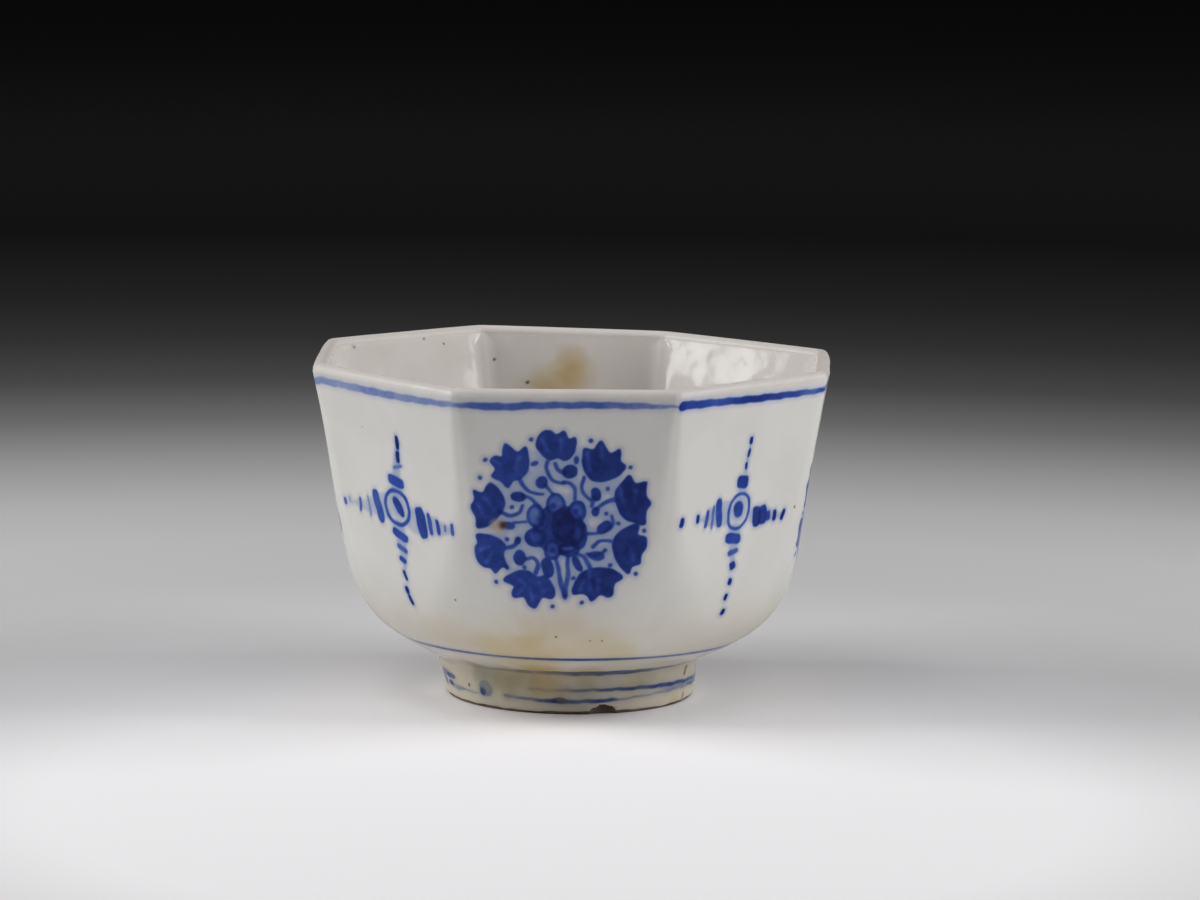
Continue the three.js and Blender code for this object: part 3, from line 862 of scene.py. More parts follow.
def painted_grid(name, breadth, height, cell, paint):
    """A thin flat skin over the covered part of a grid, as a bmesh, with its ink and bleed."""
    across, up = round(breadth / cell), round(height / cell)
    bm = bmesh.new()
    stretch = Matrix.Diagonal((breadth, height, 1, 1))
    bmesh.ops.create_grid(bm, x_segments=across, y_segments=up, size=0.5, matrix=stretch)
    columns = np.linspace(-breadth / 2, breadth / 2, across + 1)
    rows = np.linspace(-height / 2, height / 2, up + 1)
    grid = np.stack(np.meshgrid(columns, rows), -1).reshape(-1, 2)
    ink, bleed = paint(grid)
    shown = (np.maximum(ink, bleed) > LEAST_BLUE).reshape(up + 1, across + 1)
    cell_shown = shown[1:, 1:] | shown[:-1, 1:] | shown[1:, :-1] | shown[:-1, :-1]

    def cell_of(face):
        middle = face.calc_center_median()
        return cell_shown[int((middle.y / height + 0.5) * up), int((middle.x / breadth + 0.5) * across)]

    bare = [face for face in bm.faces if not cell_of(face)]
    bmesh.ops.delete(bm, geom=bare, context="FACES")
    bmesh.ops.solidify(bm, geom=bm.faces, thickness=1)
    piece = finish_mesh(name, bm)
    x, y, depth = read_places(piece.data).T
    is_face = depth > (-0.5 if depth.min() < -0.5 else 0.5)
    lift = np.where(is_face, PAINT_PROUD, -PAINT_SUNK)
    row, column = np.round((y / height + 0.5) * up), np.round((x / breadth + 0.5) * across)
    at = (row * (across + 1) + column).astype(int)
    for attribute, values in (("cobalt", ink[at]), ("bleed", bleed[at])):
        layer = piece.data.attributes.new(attribute, "FLOAT", "POINT")
        layer.data.foreach_set("value", values.astype(np.float32))
    return piece, x, y, lift


def paint_on_side(name, side, middle, size, cell, paint):
    """A painted motif on a side of the bowl. Its middle is in mm to the right of the side's, and up."""

    def marks(points):
        sketch = Sketch(trembled(points))
        paint(sketch)
        return sketch.ink, sketch.bleed

    piece, x, y, lift = painted_grid(name, size[0], size[1], cell, marks)
    height = y + middle[1]
    turned = np.arctan((x + middle[0]) / outside_radius(height))
    write_places(piece.data, on_outside(np.full(len(x), side), turned, height, lift))
    shade_smooth(piece, SKIN_CREASE)
    return piece


def paint_round(name, low, high, cell, paint):
    """Painted lines that go all round the bowl between two heights. The sketch is in sides and mm up."""
    around = 2 * tan(HALF_SIDE) * outside_radius((low + high) / 2)
    breadth = SIDES * around

    def marks(points):
        return paint(points[:, 0] / around + SIDES / 2, points[:, 1] + (low + high) / 2)

    piece, x, y, lift = painted_grid(name, breadth, high - low, cell, marks)
    sides_round = x / around + SIDES / 2
    side = np.round(sides_round).astype(int)
    turned = np.arctan(2 * (sides_round - side) * tan(HALF_SIDE))
    write_places(piece.data, on_outside(side, turned, y + (low + high) / 2, lift))
    shade_smooth(piece, SKIN_CREASE)
    return piece


# The line under the lip, one stroke to a side, in mm to the right of the side's middle and height.
RIM_STROKES = {
    7: ([(-31.5, 94.9), (-27.7, 95.6), (-16.9, 95.4), (-2.7, 95.1), (7.9, 95.0), (18.3, 95.1), (31.5, 95.5)],
        [2.2, 2.3, 2.3, 2.4, 2.3, 2.1, 1.7], [0.3, 0.28, 0.25, 0.32, 0.28, 0.32, 0.26]),
    0: ([(-31.6, 95.5), (-23.5, 95.3), (-17.0, 95.1), (-10.4, 95.5), (-1.7, 95.7), (9.2, 95.8), (20.1, 95.6),
         (31.0, 95.4)],
        [1.2, 2.3, 2.3, 2.2, 2.1, 2.1, 2.0, 0.8], [0.28, 0.44, 0.38, 0.42, 0.36, 0.4, 0.34, 0.26]),
    1: ([(-29.4, 95.5), (-27.2, 95.5), (-14.3, 95.3), (-0.9, 94.9), (12.6, 94.8), (26.2, 94.7), (31.2, 94.7)],
        [2.6, 2.4, 2.1, 2.0, 1.9, 1.7, 1.0], [0.76, 0.66, 0.5, 0.82, 0.64, 0.4, 0.72]),
}
RIM_KINDS = [0, 1, 7, 1, 0, 7, 0, 7]
LINE_SIDE_REACH = 0.54


def paint_rim(sides_round, height):
    flat = outside_radius(height)
    ink, bleed = np.zeros(len(height)), np.zeros(len(height))
    for side in range(SIDES):
        away = (sides_round - side + SIDES / 2) % SIDES - SIDES / 2
        here = np.abs(away) < LINE_SIDE_REACH
        points = trembled(np.stack([2 * away * tan(HALF_SIDE) * flat, height], 1)[here])
        sketch = Sketch(points)
        path, breadths, strengths = RIM_STROKES[RIM_KINDS[side]]
        strength = np.interp(points[:, 0], np.array(path)[:, 0], strengths)
        sketch.lay(from_stroke(points, path, breadths), strength)
        ink[here] = np.maximum(ink[here], sketch.ink)
        bleed[here] = np.maximum(bleed[here], sketch.bleed)
    return ink, bleed


# The thin line low on the flank: its rise over the foot, its breadth and its bleed.
FLANK_LINE_RISE = 6.5
FLANK_LINE_BREADTH = 0.85
FLANK_LINE_BLEED = 0.5


def paint_flank(sides_round, height):
    angle = sides_round * SIDE_ANGLE
    middle = FOOT_HEIGHT + FLANK_LINE_RISE + 0.25 * np.sin(angle + 2.6) + 0.08 * np.sin(5 * angle)
    sketch = Sketch(np.stack([angle, height], 1))
    sketch.lay(np.abs(height - middle) - FLANK_LINE_BREADTH / 2, 0.56 + 0.12 * np.sin(7 * angle + 1))
    return sketch.ink, FLANK_LINE_BLEED * sketch.bleed


# Lines on the foot, in degrees round from the front and mm up, with breadth and strength at each point.
FOOT_LINES = [
    [(-36, 12.7, 0.8, 0.2), (-20, 12.8, 1.1, 0.66), (10, 12.8, 1.4, 1.0), (30, 12.8, 1.2, 0.9),
     (45, 12.9, 0.9, 0.6), (75, 12.8, 0.6, 0.3), (120, 12.6, 0.8, 0.6), (200, 12.6, 0.8, 0.6),
     (270, 12.6, 0.7, 0.4), (300, 12.6, 0.7, 0.1)],
    [(-16, 7.4, 0.7, 0.42), (-5, 7.3, 0.7, 0.52), (15, 7.4, 0.7, 0.62), (37, 7.2, 0.8, 0.72),
     (54, 6.9, 0.9, 0.6), (78, 6.4, 0.8, 0.4), (92, 6.4, 0.8, 0.45), (150, 7.4, 0.8, 0.55),
     (220, 7.3, 0.8, 0.55), (262, 7.2, 0.6, 0.3)],
    [(-30, 4.8, 0.7, 0.28), (-14, 4.2, 0.8, 0.52), (-5, 4.1, 0.9, 0.85), (5, 4.0, 0.8, 0.7),
     (19, 4.2, 0.9, 0.7), (24, 4.3, 0.6, 0.35), (42, 4.9, 0.6, 0.3), (60, 5.1, 0.9, 0.3),
     (90, 4.8, 0.9, 0.35), (150, 4.8, 0.9, 0.5), (220, 4.3, 0.9, 0.5), (266, 4.1, 0.7, 0.3)],
]

# Blots on the foot: degrees round and mm up, radii in mm, and strength.
FOOT_BLOTS = [
    (-70, 7.9, 3.2, 1.1, 0.28), (-64, 7.2, 2.9, 0.9, 0.38), (-73, 5.4, 1.8, 1.8, 0.28),
    (-66, 4.9, 1.9, 0.9, 0.46), (-59, 4.3, 3.6, 0.8, 0.22), (-49, 4.2, 3.5, 0.4, 0.18),
    (-39.6, 6.0, 2.4, 2.6, 0.24), (-41.5, 4.8, 1.0, 1.1, 0.36), (-28, 4.4, 1.3, 1.0, 0.16),
    (-3.5, 4.2, 2.3, 0.8, 0.85), (56, 6.2, 7, 0.9, 0.14), (76, 5.7, 6, 1.1, 0.16),
]
FOOT_LINE_FULLNESS = 1.3
FOOT_LINE_INK = 0.75
FOOT_LINE_BLEED = 0.8
PAINT_STARTS_OVER_EDGE = (0.1, 0.5)


def paint_foot(sides_round, height):
    angle = sides_round * 360 / SIDES
    angle = np.where(angle > 180, angle - 360, angle)
    reach = FOOT_RADIUS * radians(1)
    points = trembled(np.stack([angle * reach, height], 1))
    sketch = Sketch(points)
    for line in FOOT_LINES:
        degrees, heights, breadths, strengths = np.array(line).T
        for turn in (-360, 0):
            path = np.stack([(degrees + turn) * reach, heights], 1)
            strength = FOOT_LINE_INK * np.interp(points[:, 0], path[:, 0], strengths)
            sketch.lay(from_stroke(points, path, FOOT_LINE_FULLNESS * breadths), strength)
    for degrees, up, across, tall, strength in FOOT_BLOTS:
        sketch.lay(from_oval(points, (degrees * reach, up), (across, tall)), strength)
    edge = glaze_edge(radians(1) * angle)
    glazed = smooth_share(height - edge, *PAINT_STARTS_OVER_EDGE)
    return sketch.ink * glazed, FOOT_LINE_BLEED * sketch.bleed * glazed


# Each motif's middle on its side, its size, and the size of the cells of its skin.
ROUNDEL_MIDDLE = (-1.9, 62.4)
ROUNDEL_SIZE = (54, 56)
ROUNDEL_CELL = 0.26
LEFT_CROSS_MIDDLE = (0, 61.8)
RIGHT_CROSS_MIDDLE = (-0.5, 62.2)
CROSS_SIZE = (52, 66)
CROSS_CELL = 0.28
LINE_CELL = 0.28


def turned_paint(paint, degrees, mirrored):
    """The same motif as another painting of it: turned a little, and perhaps the other way round."""

    def painted(sketch):
        points = sketch.points
        x, y = turned_to(points, (0, 0), degrees)
        sketch.points = np.stack([-x if mirrored else x, y], 1)
        paint(sketch)
        sketch.points = points

    return painted


def left_cross(sketch):
    paint_cross(sketch, LEFT_CROSS, LEFT_RINGS, LEFT_WASHES)


def right_cross(sketch):
    paint_cross(sketch, RIGHT_CROSS, RIGHT_RINGS, RIGHT_WASHES)


# The motifs round the bowl: name, side, how it is turned in degrees, and whether it is the other way round.
ROUNDELS = [
    ("front_roundel", 0, 0, False),
    ("right_roundel", 2, 3, True),
    ("back_roundel", 4, -4, False),
    ("left_roundel", 6, 5, True),
]
CROSSES = [
    ("front_left_cross", 7, left_cross, LEFT_CROSS_MIDDLE, 0, False),
    ("front_right_cross", 1, right_cross, RIGHT_CROSS_MIDDLE, 0, False),
    ("back_right_cross", 3, left_cross, LEFT_CROSS_MIDDLE, 3, True),
    ("back_left_cross", 5, right_cross, RIGHT_CROSS_MIDDLE, -2, True),
]
motifs = []
for name, side, turn, mirrored in ROUNDELS:
    paint = turned_paint(paint_roundel, turn, mirrored)
    motifs.append(paint_on_side(name, side, ROUNDEL_MIDDLE, ROUNDEL_SIZE, ROUNDEL_CELL, paint))
for name, side, cross, middle, turn, mirrored in CROSSES:
    paint = turned_paint(cross, turn, mirrored)
    motifs.append(paint_on_side(name, side, middle, CROSS_SIZE, CROSS_CELL, paint))

rim_strokes = paint_round("rim_strokes", 92.4, 97.7, LINE_CELL, paint_rim)
flank_stroke = paint_round("flank_stroke", 17.6, 20.8, LINE_CELL, paint_flank)
foot_strokes = paint_round("foot_strokes", 2.2, 13.8, LINE_CELL, paint_foot)


# Finishes.
class Tree:
    """The nodes of a finish or of a shared effect."""

    def __init__(self, tree):
        self.nodes, self.links = tree.nodes, tree.links

    def feed(self, socket, value):
        """Links a value to a socket, or sets the socket to a number, a place or a colour."""
        if isinstance(value, bpy.types.NodeSocket):
            self.links.new(value, socket)
        else:
            socket.default_value = (*value, 1) if socket.type == "RGBA" else value

    def node(self, kind, **inputs):
        """A new node with some of its inputs fed, where an input's name has _ for its spaces."""
        node = self.nodes.new(kind)
        for label, value in inputs.items():
            self.feed(node.inputs[label.replace("_", " ")], value)
        return node

    def use(self, group, **inputs):
        """The outputs of a shared effect."""
        node = self.nodes.new("ShaderNodeGroup")
        node.node_tree = group
        for label, value in inputs.items():
            self.feed(node.inputs[label], value)
        return node.outputs

    def noise(self, at, scale, detail=2.0, roughness=0.5):
        node = self.node("ShaderNodeTexNoise", Vector=at, Scale=scale, Detail=detail, Roughness=roughness)
        return node.outputs["Fac"]

    def maths(self, operation, *values):
        node = self.node("ShaderNodeMath")
        node.operation = operation
        for socket, value in zip(node.inputs, values):
            self.feed(socket, value)
        return node.outputs[0]

    def distance(self, first, second):
        node = self.node("ShaderNodeVectorMath")
        node.operation = "DISTANCE"
        self.feed(node.inputs[0], first)
        self.feed(node.inputs[1], second)
        return node.outputs["Value"]

    def smooth_range(self, value, low, high, out_low=0.0, out_high=1.0):
        node = self.node("ShaderNodeMapRange", Value=value, From_Min=low, From_Max=high,
                         To_Min=out_low, To_Max=out_high)
        node.interpolation_type = "SMOOTHSTEP"
        return node.outputs["Result"]

    def mix(self, share, first, second, blend="MIX"):
        node = self.node("ShaderNodeMix")
        node.data_type = "RGBA"
        node.blend_type = blend
        for socket, value in ((node.inputs[0], share), (node.inputs[6], first), (node.inputs[7], second)):
            self.feed(socket, value)
        return node.outputs[2]

    def ramp(self, value, stops):
        """A colour for a value, from stops given as (value, colour)."""
        node = self.node("ShaderNodeValToRGB", Fac=value)
        elements = node.color_ramp.elements
        while len(elements) < len(stops):
            elements.new(0.5)
        for element, (spot, colour) in zip(elements, stops):
            element.position = spot
            element.color = (*colour, 1)
        return node.outputs["Color"]

    def relief(self, shader, height, depth):
        bump = self.node("ShaderNodeBump", Height=height, Distance=depth)
        self.feed(shader.inputs["Normal"], bump.outputs["Normal"])


def new_finish(name):
    """A material, its nodes, its shader and the place on the bowl that they read."""
    material = bpy.data.materials.new(name)
    material.use_nodes = True
    tree = Tree(material.node_tree)
    return material, tree, tree.nodes["Principled BSDF"], tree.node("ShaderNodeTexCoord").outputs["Object"]


def new_effect(name, inputs, outputs):
    """A shared effect, given the kind of each of its inputs and outputs."""
    group = bpy.data.node_groups.new(name, "ShaderNodeTree")
    for way, sockets in (("INPUT", inputs), ("OUTPUT", outputs)):
        for label, kind in sockets.items():
            group.interface.new_socket(label, in_out=way, socket_type="NodeSocket" + kind)
    tree = Tree(group)
    return group, tree, tree.node("NodeGroupInput").outputs, tree.node("NodeGroupOutput").inputs


def soft_spot_effect():
    """A stain, a speck or a patch of painted shade: 1 at its middle, 0 past its reach, with an uneven edge.
    """
    inputs = {"Place": "Vector", "Middle": "Vector", "Reach": "Float", "Uneven": "Float", "Grain": "Float"}
    group, tree, given, out = new_effect("soft_spot", inputs, {"Mask": "Float"})
    share = tree.maths("DIVIDE", tree.distance(given["Place"], given["Middle"]), given["Reach"])
    cloud = tree.maths("SUBTRACT", tree.noise(given["Place"], given["Grain"], 3), 0.5)
    uneven = tree.maths("MULTIPLY", cloud, given["Uneven"])
    ragged_share = tree.maths("ADD", share, tree.maths("MULTIPLY", uneven, 4.0))
    tree.feed(out["Mask"], tree.smooth_range(ragged_share, 0.15, 1.0, 1.0, 0.0))
    return group


PIT_COLOUR = (0.3, 0.25, 0.19)


def glaze_tone_effect():
    """The glaze's own colour, clouded and pitted, and its fine height."""
    inputs = {"Place": "Vector", "Glaze": "Color", "Cloud": "Color"}
    group, tree, given, out = new_effect("glaze_tone", inputs, {"Colour": "Color", "Height": "Float"})
    at = given["Place"]
    cloud = tree.smooth_range(tree.noise(at, 28, 4, 0.6), 0.35, 0.7)
    colour = tree.mix(cloud, given["Glaze"], given["Cloud"])
    pits = tree.node("ShaderNodeTexVoronoi", Vector=at, Scale=420).outputs["Distance"]
    few = tree.smooth_range(tree.noise(at, 90), 0.62, 0.7)
    pit = tree.maths("MULTIPLY", tree.smooth_range(pits, 0.02, 0.09, 1.0, 0.0), few)
    tree.feed(out["Colour"], tree.mix(tree.maths("MULTIPLY", pit, 0.55), colour, PIT_COLOUR))
    tree.feed(out["Height"], tree.maths("SUBTRACT", tree.noise(at, 160), tree.maths("MULTIPLY", pit, 0.5)))
    return group


# The blue from a thin wash to a pool of it, its bleed into the glaze, and the same dulled by stains.
BLUES = [
    (0.0, (0.12, 0.2, 0.42)), (0.3, (0.08, 0.145, 0.39)), (0.55, (0.024, 0.06, 0.33)),
    (0.7, (0.013, 0.038, 0.23)), (0.86, (0.006, 0.02, 0.15)), (1.0, (0.002, 0.008, 0.09)),
]
BLED_BLUE = (0.15, 0.235, 0.46)
DULL_BLUE = (0.07, 0.08, 0.14)


def cobalt_wash_effect():
    """Blue under the glaze: a pale halo where it bled, and deeper blue where more was laid."""
    inputs = {"Place": "Vector", "Ground": "Color", "Ink": "Float", "Bleed": "Float", "Dulled": "Float"}
    group, tree, given, out = new_effect("cobalt_wash", inputs, {"Colour": "Color"})
    patchy = tree.smooth_range(tree.noise(given["Place"], 260, 4, 0.6), 0.25, 0.75, 0.86, 1.12)
    ink = tree.maths("MULTIPLY", given["Ink"], patchy)
    bled = tree.mix(tree.maths("MULTIPLY", given["Bleed"], 0.92), given["Ground"], BLED_BLUE)
    blue = tree.mix(given["Dulled"], tree.ramp(ink, BLUES), DULL_BLUE)
    tree.feed(out["Colour"], tree.mix(tree.smooth_range(ink, 0.0, 0.42), bled, blue))
    return group


SOFT_SPOT = soft_spot_effect()
GLAZE_TONE = glaze_tone_effect()
COBALT_WASH = cobalt_wash_effect()


# Stains by side, mm to the right of the side's middle, height, reach, unevenness, grain, strength and
# colour, and iron specks by side, mm to the right, height and reach. The ash-grey stains low on the foot
# are partly grime and partly painted shade under the flank.
IRON = (0.045, 0.026, 0.014)
OCHRE = (0.8, 0.62, 0.26)
RUST = (0.17, 0.1, 0.05)
TAN = (0.42, 0.33, 0.19)
# A dull greenish grey laid low on the foot, partly grime and partly painted shade under the flank.
ASH_AND_SHADE = (0.25, 0.26, 0.185)
OUTSIDE_STAINS_AND_SHADE = [
    (0, -14, 21, 17, 0.35, 60, 0.55, OCHRE), (0, -2, 27, 15, 0.35, 60, 0.35, OCHRE),
    (0, 12, 22, 13, 0.35, 70, 0.4, OCHRE), (7, 10, 24, 14, 0.4, 70, 0.25, OCHRE),
    (2, 6, 24, 18, 0.4, 60, 0.3, OCHRE), (5, -4, 25, 22, 0.4, 50, 0.3, OCHRE),
    (0, -10, 13, 9, 0.3, 120, 0.6, OCHRE), (0, -8, 8.5, 5, 0.3, 160, 0.45, OCHRE),
    (1, -10, 9, 6, 0.3, 160, 0.3, OCHRE), (0, -19.2, 60.2, 3.2, 0.12, 250, 0.75, TAN),
    (0, -6, 14.5, 7, 0.2, 160, 0.5, OCHRE), (0, 6, 14.5, 7, 0.2, 160, 0.5, OCHRE),
    (7, 14, 13, 6, 0.2, 160, 0.45, ASH_AND_SHADE), (0, 12, 10, 7, 0.2, 160, 0.25, ASH_AND_SHADE),
    (1, -6, 10, 6, 0.2, 160, 0.25, ASH_AND_SHADE), (7, 11, 10, 9, 0.25, 160, 0.75, TAN),
    (0, -10, 10, 9, 0.3, 180, 0.7, TAN), (0, -3, 10.5, 8, 0.3, 160, 0.6, TAN),
    (1, 8, 1.2, 4, 0.2, 300, 0.5, TAN), (0, 5, 11.5, 5, 0.25, 180, 0.35, OCHRE),
    (7, 2, 12.4, 7, 0.25, 160, 0.6, ASH_AND_SHADE), (0, 4, 8, 9, 0.3, 160, 0.4, ASH_AND_SHADE),
    (7, 5, 10, 9, 0.3, 160, 0.45, ASH_AND_SHADE), (7, 16, 9, 8, 0.3, 160, 0.35, ASH_AND_SHADE),
    (1, 14, 10.4, 1.5, 0.2, 450, 0.85, RUST), (1, 13.5, 9.0, 1.3, 0.2, 450, 0.85, RUST),
    (1, 13.5, 2.6, 1.2, 0.2, 450, 0.6, RUST), (1, 13.4, 1.6, 1.2, 0.2, 450, 0.6, RUST),
    (0, -17.7, 60.5, 2.0, 0.12, 300, 0.95, IRON),
]
OUTSIDE_SPECKS = [
    (7, -3.0, 6.1, 0.8), (0, -3.3, 27.3, 0.55), (0, 6.3, 26.1, 0.4), (0, 9.8, 26.1, 0.45),
    (7, 18.8, 37.0, 0.5), (1, 23.7, 60.8, 0.7), (7, -11, 84, 0.35), (2, 5, 33, 0.6), (3, -12, 80, 0.5),
    (5, 16, 40, 0.6), (4, 20, 88, 0.45), (6, -6, 30, 0.5),
]
INSIDE_SPECKS = [
    (5, 23.3, 97.2, 1.1), (5, -5.4, 98, 1.1), (6, 10, 94, 0.6), (4, 25.5, 89.8, 0.8), (4, 14.5, 83.2, 1.0),
    (5, -13, 95.5, 0.6),
]
INSIDE_STAINS = [
    (4, -0.5, 86, 9.5, 0.2, 110, 0.6, OCHRE), (4, 5, 83, 10, 0.22, 100, 0.5, OCHRE),
    (4, 0.8, 91, 6, 0.25, 120, 0.35, OCHRE), (4, 11, 81, 8, 0.25, 120, 0.5, OCHRE),
    (2, -24, 93, 5, 0.3, 160, 0.4, TAN),
]


def outside_spot(side, right, height):
    turned = np.arctan(np.array([right / outside_radius(height)]))
    return tuple(on_outside(np.array([side]), turned, np.array([float(height)]), 0)[0] * MM)


def inside_spot(side, right, height):
    path = GLAZED_FACE[CROWN_ROWS:][::-1]
    flat = np.array([np.interp(height, path[:, 1], path[:, 0])])
    return tuple(place(np.array([side]), np.arctan(right / flat), flat, np.array([float(height)]))[0] * MM)


def placed_spots(spot, stains_and_shade, specks):
    """Stains, specks and patches of painted shade as (middle, reach, unevenness, grain, strength, colour)."""
    specks = [(side, right, height, reach, 0.35, 900, 0.85, IRON) for side, right, height, reach in specks]
    return [(spot(*stain_or_shade[:3]), *stain_or_shade[3:]) for stain_or_shade in stains_and_shade + specks]


def add_spots(tree, colour, at, spots):
    for middle, reach, uneven, grain, strength, tint in spots:
        spot = tree.use(SOFT_SPOT, Place=at, Middle=middle, Reach=reach * MM, Uneven=uneven, Grain=grain)
        share = tree.maths("MULTIPLY", spot["Mask"], strength)
        colour = tree.mix(share, colour, tint, "MULTIPLY" if tint == OCHRE else "MIX")
    return colour


# The glaze's colours, the darker, warmer tints multiplied in between two heights in metres low on the bowl
# and on the foot, where the tint is partly grime and partly painted shade under the flank, and the worn lip.
GLAZE_COLOUR = (0.66, 0.652, 0.628)
CLOUD_COLOUR = (0.62, 0.61, 0.575)
INSIDE_COLOUR = (0.65, 0.622, 0.596)
INSIDE_CLOUD = (0.61, 0.575, 0.545)
LOW_TINT_AND_FOOT_SHADE = [((0.96, 0.92, 0.84), 0.0225, 0.0445), ((0.84, 0.81, 0.74), 0.0115, 0.019)]
LIP_COLOUR = (0.6, 0.55, 0.522)
LIP_WORN_BETWEEN = (0.0985, 0.1025)
OUTSIDE_GLOSS = 0.12
INSIDE_GLOSS = 0.5
OUTSIDE_RELIEF = 0.00004
INSIDE_RELIEF = 0.00045


def attribute(tree, name):
    node = tree.node("ShaderNodeAttribute")
    node.attribute_name = name
    return node.outputs["Fac"]


def glaze_finish(name, spots, glaze, cloud, painted=False, dulled=0.0, gloss=OUTSIDE_GLOSS,
                 relief=OUTSIDE_RELIEF):
    material, tree, shader, at = new_finish(name)
    tone = tree.use(GLAZE_TONE, Place=at, Glaze=glaze, Cloud=cloud)
    height = tree.node("ShaderNodeSeparateXYZ", Vector=at).outputs["Z"]
    strayed = tree.maths("MULTIPLY_ADD", tree.noise(at, 110, 4, 0.6), 0.005, height)
    worn = tree.smooth_range(strayed, *LIP_WORN_BETWEEN, 0.0, 0.9)
    colour = tree.mix(worn, tone["Colour"], LIP_COLOUR)
    if painted:
        colour = tree.use(COBALT_WASH, Place=at, Ground=colour, Ink=attribute(tree, "cobalt"),
                          Bleed=attribute(tree, "bleed"), Dulled=dulled)["Colour"]
    # Darker and warmer low on the bowl, and on the foot partly grime and partly painted shade under the
    # flank.
    for dimming, low, high in LOW_TINT_AND_FOOT_SHADE:
        colour = tree.mix(tree.smooth_range(strayed, low, high, 1.0, 0.0), colour, dimming, "MULTIPLY")
    tree.feed(shader.inputs["Base Color"], add_spots(tree, colour, at, spots))
    shader.inputs["Specular IOR Level"].default_value = gloss
    roughness = tree.smooth_range(tree.noise(at, 60, 3), 0.3, 0.7, 0.07, 0.16)
    tree.feed(shader.inputs["Roughness"], tree.maths("ADD", roughness, tree.maths("MULTIPLY", worn, 0.3)))
    tree.relief(shader, tree.maths("MULTIPLY_ADD", tone["Height"], 0.12, tree.noise(at, 70, 1.5)), relief)
    return material


def bare_clay_finish():
    material, tree, shader, at = new_finish("bare foot clay")
    dirt = tree.smooth_range(tree.noise(at, 130, 5, 0.65), 0.3, 0.7)
    tree.feed(shader.inputs["Base Color"], tree.mix(dirt, (0.05, 0.032, 0.02), (0.17, 0.12, 0.08)))
    shader.inputs["Roughness"].default_value = 0.85
    tree.relief(shader, tree.noise(at, 900, 4, 0.7), 0.0002)
    return material


def hidden_clay_finish():
    material, tree, shader, at = new_finish("clay under the glaze")
    colour = tree.mix(tree.noise(at, 200, 4), (0.62, 0.57, 0.5), (0.72, 0.68, 0.62))
    tree.feed(shader.inputs["Base Color"], colour)
    shader.inputs["Roughness"].default_value = 0.8
    return material


LINES_DULLED = 0.22
outside = (placed_spots(outside_spot, OUTSIDE_STAINS_AND_SHADE, OUTSIDE_SPECKS), GLAZE_COLOUR, CLOUD_COLOUR)
inside = (placed_spots(inside_spot, INSIDE_STAINS, INSIDE_SPECKS), INSIDE_COLOUR, INSIDE_CLOUD)
outside_glaze_finish = glaze_finish("outside glaze", *outside)
painted_glaze_finish = glaze_finish("painted glaze", *outside, painted=True)
stained_lines_finish = glaze_finish("stained lines", *outside, painted=True, dulled=LINES_DULLED)
inside_glaze_finish = glaze_finish("inside glaze", *inside, gloss=INSIDE_GLOSS, relief=INSIDE_RELIEF)
bare_foot_finish = bare_clay_finish()
clay_finish = hidden_clay_finish()

# Each piece with its finish, its slot and the solids that it takes the place of.
DRESS = [
    (bowl_clay, clay_finish, "clay", ["bowl_body", "luting_slip"]),
    (foot_clay, bare_foot_finish, "bare_clay", ["foot_ring"]),
    (outer_wall_glaze, outside_glaze_finish, "white_glaze", ["outside_glaze"]),
    (inner_wall_glaze, inside_glaze_finish, "white_glaze", ["inside_glaze"]),
    (foot_side_glaze, outside_glaze_finish, "white_glaze", ["foot_glaze"]),
    (recess_floor_glaze, outside_glaze_finish, "white_glaze", ["recess_glaze"]),
    (rim_strokes, painted_glaze_finish, "cobalt", ["rim_line"]),
    (flank_stroke, stained_lines_finish, "cobalt", ["flank_line"]),
    (foot_strokes, stained_lines_finish, "cobalt", ["angle_line", "upper_foot_line", "lower_foot_line"]),
]
DRESS += [(motif, painted_glaze_finish, "cobalt", []) for motif in motifs]
for piece, finish, slot, nodes_replaced in DRESS:
    piece.data.materials.append(finish)
    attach(piece, "root")
    if nodes_replaced:
        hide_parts(*nodes_replaced)


# The table, the lamps and the camera. The pale table darkens away from a place in front of the bowl, as a
# painted pool of light that fades into painted darkness farther off: distances from it in metres, and tones.
FLOOR_RADIUS = 6.0
FLOOR_FADED = 2.5
FLOOR_GREEN = 0.985
POOL_MIDDLE = (0, -0.15, 0)
LIGHT_POOL_TONES = [
    (0, 0.85), (0.14, 0.84), (0.2, 0.68), (0.27, 0.58), (0.35, 0.53), (0.44, 0.54), (0.525, 0.5),
    (0.63, 0.375), (0.75, 0.21), (0.88, 0.106), (1.04, 0.062), (1.22, 0.042), (1.6, 0.026), (2.5, 0.08),
]


def floor_finish():
    material, tree, shader, at = new_finish("table")
    share = tree.maths("DIVIDE", tree.distance(at, POOL_MIDDLE), FLOOR_FADED)
    stops = [(radius / FLOOR_FADED, (tone, tone * FLOOR_GREEN, tone)) for radius, tone in LIGHT_POOL_TONES]
    # The painted pool of light and its fade, by distance from its middle.
    tree.feed(shader.inputs["Base Color"], tree.ramp(share, stops))
    shader.inputs["Roughness"].default_value = 1.0
    shader.inputs["Specular IOR Level"].default_value = 0.0
    return material


def lay_floor():
    bm = bmesh.new()
    bmesh.ops.create_circle(bm, cap_ends=True, radius=FLOOR_RADIUS, segments=96)
    floor = finish_mesh("table_top", bm)
    floor.data.materials.append(floor_finish())


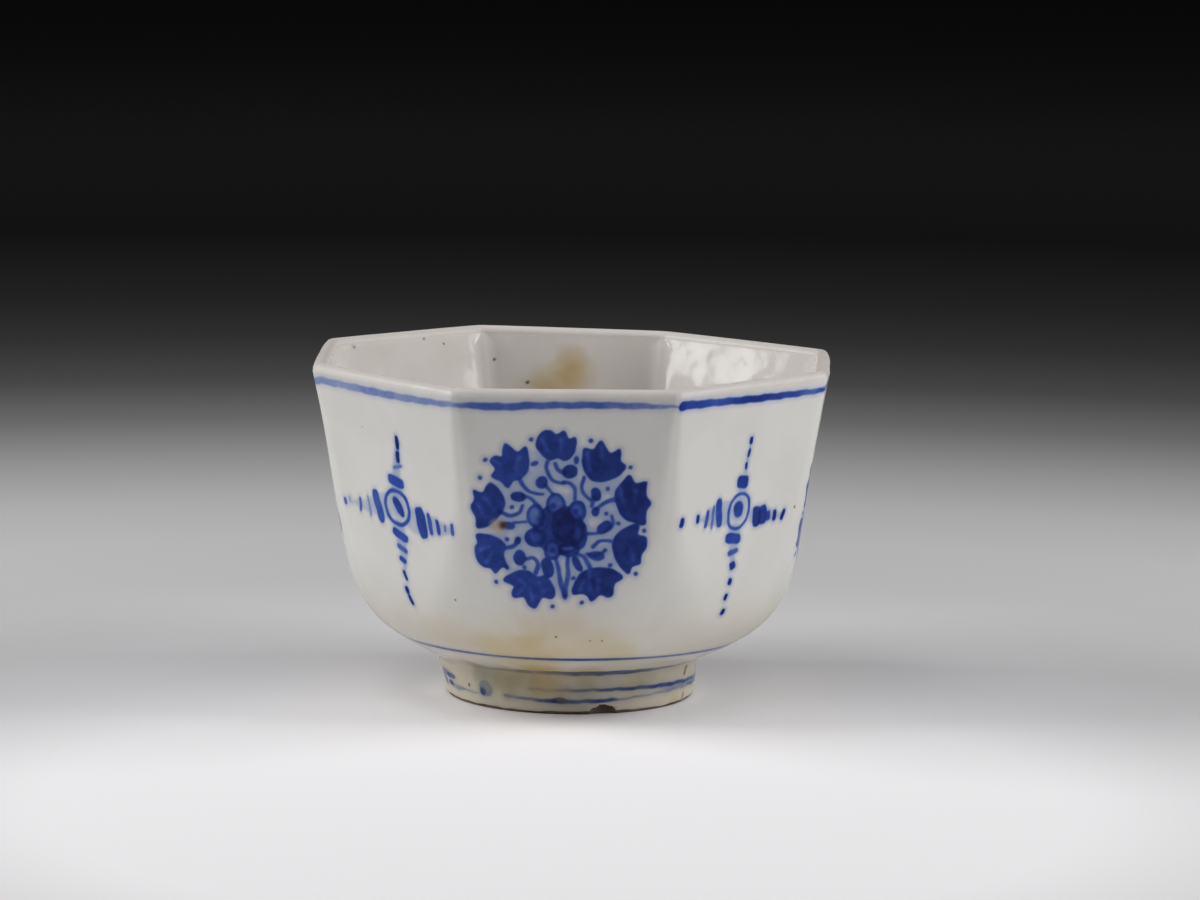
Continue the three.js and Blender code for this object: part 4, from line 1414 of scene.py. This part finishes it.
# The soft lamps: degrees round to the right from the front, degrees up, breadth and height in metres, and
# power in watts.
LAMP_DISTANCE = 1.3
LAMPS_AIM_AT = Vector((0, 0, 0.06))
LAMPS = [
    ("left_softbox", -88, 32, (0.8, 0.5), 11.4),
    ("right_softbox", 88, 32, (0.8, 0.5), 10.2),
    ("left_high_softbox", -50, 66, (0.8, 0.5), 2.8),
    ("right_high_softbox", 50, 66, (0.8, 0.5), 1.5),
    ("left_strip", -73.5, 9.5, (0.6, 0.22), 2.3),
    ("right_strip", 66, 9.5, (0.85, 0.3), 3.3),
]
WORLD_COLOUR = (0.025, 0.025, 0.026)


def hang_lamp(name, azimuth, elevation, size, power):
    lamp = bpy.data.lights.new(name, "AREA")
    lamp.shape = "RECTANGLE"
    lamp.size, lamp.size_y = size
    lamp.energy = power
    holder = bpy.data.objects.new(name, lamp)
    bpy.context.scene.collection.objects.link(holder)
    a, e = radians(azimuth), radians(elevation)
    way = Vector((sin(a) * cos(e), -cos(a) * cos(e), sin(e)))
    holder.location = LAMPS_AIM_AT + way * LAMP_DISTANCE
    holder.rotation_euler = way.to_track_quat("Z", "Y").to_euler()


def light_scene():
    world = bpy.data.worlds.new("studio")
    bpy.context.scene.world = world
    world.use_nodes = True
    world.node_tree.nodes["Background"].inputs["Color"].default_value = (*WORLD_COLOUR, 1)
    for lamp in LAMPS:
        hang_lamp(*lamp)


CAMERA_SENSOR = 36
CAMERA_LENS = 138.3
CAMERA_DISTANCE = 1.358
CAMERA_ELEVATION = radians(8.11)
CAMERA_ROLL = radians(0.73)
CAMERA_TURN = radians(0.58)
CAMERA_LOOKS_AT = Vector((0.00754, 0, 0.0722))


def set_camera():
    camera = bpy.data.cameras.new("camera")
    camera.sensor_width = CAMERA_SENSOR
    camera.lens = CAMERA_LENS
    holder = bpy.data.objects.new("camera", camera)
    bpy.context.scene.collection.objects.link(holder)
    forward = Vector((0, cos(CAMERA_ELEVATION), -sin(CAMERA_ELEVATION)))
    right = Vector((1, 0, 0))
    up = right.cross(forward)
    across = cos(CAMERA_ROLL) * right + sin(CAMERA_ROLL) * up
    upright = cos(CAMERA_ROLL) * up - sin(CAMERA_ROLL) * right
    place_matrix = Matrix((across, upright, -forward)).transposed().to_4x4()
    place_matrix.translation = CAMERA_LOOKS_AT - CAMERA_DISTANCE * forward
    holder.matrix_world = Matrix.Rotation(CAMERA_TURN, 4, "Z") @ place_matrix
    bpy.context.scene.camera = holder


lay_floor()
light_scene()
set_camera()
bpy.context.scene.view_settings.view_transform = "Standard"

bpy.context.view_layer.update()
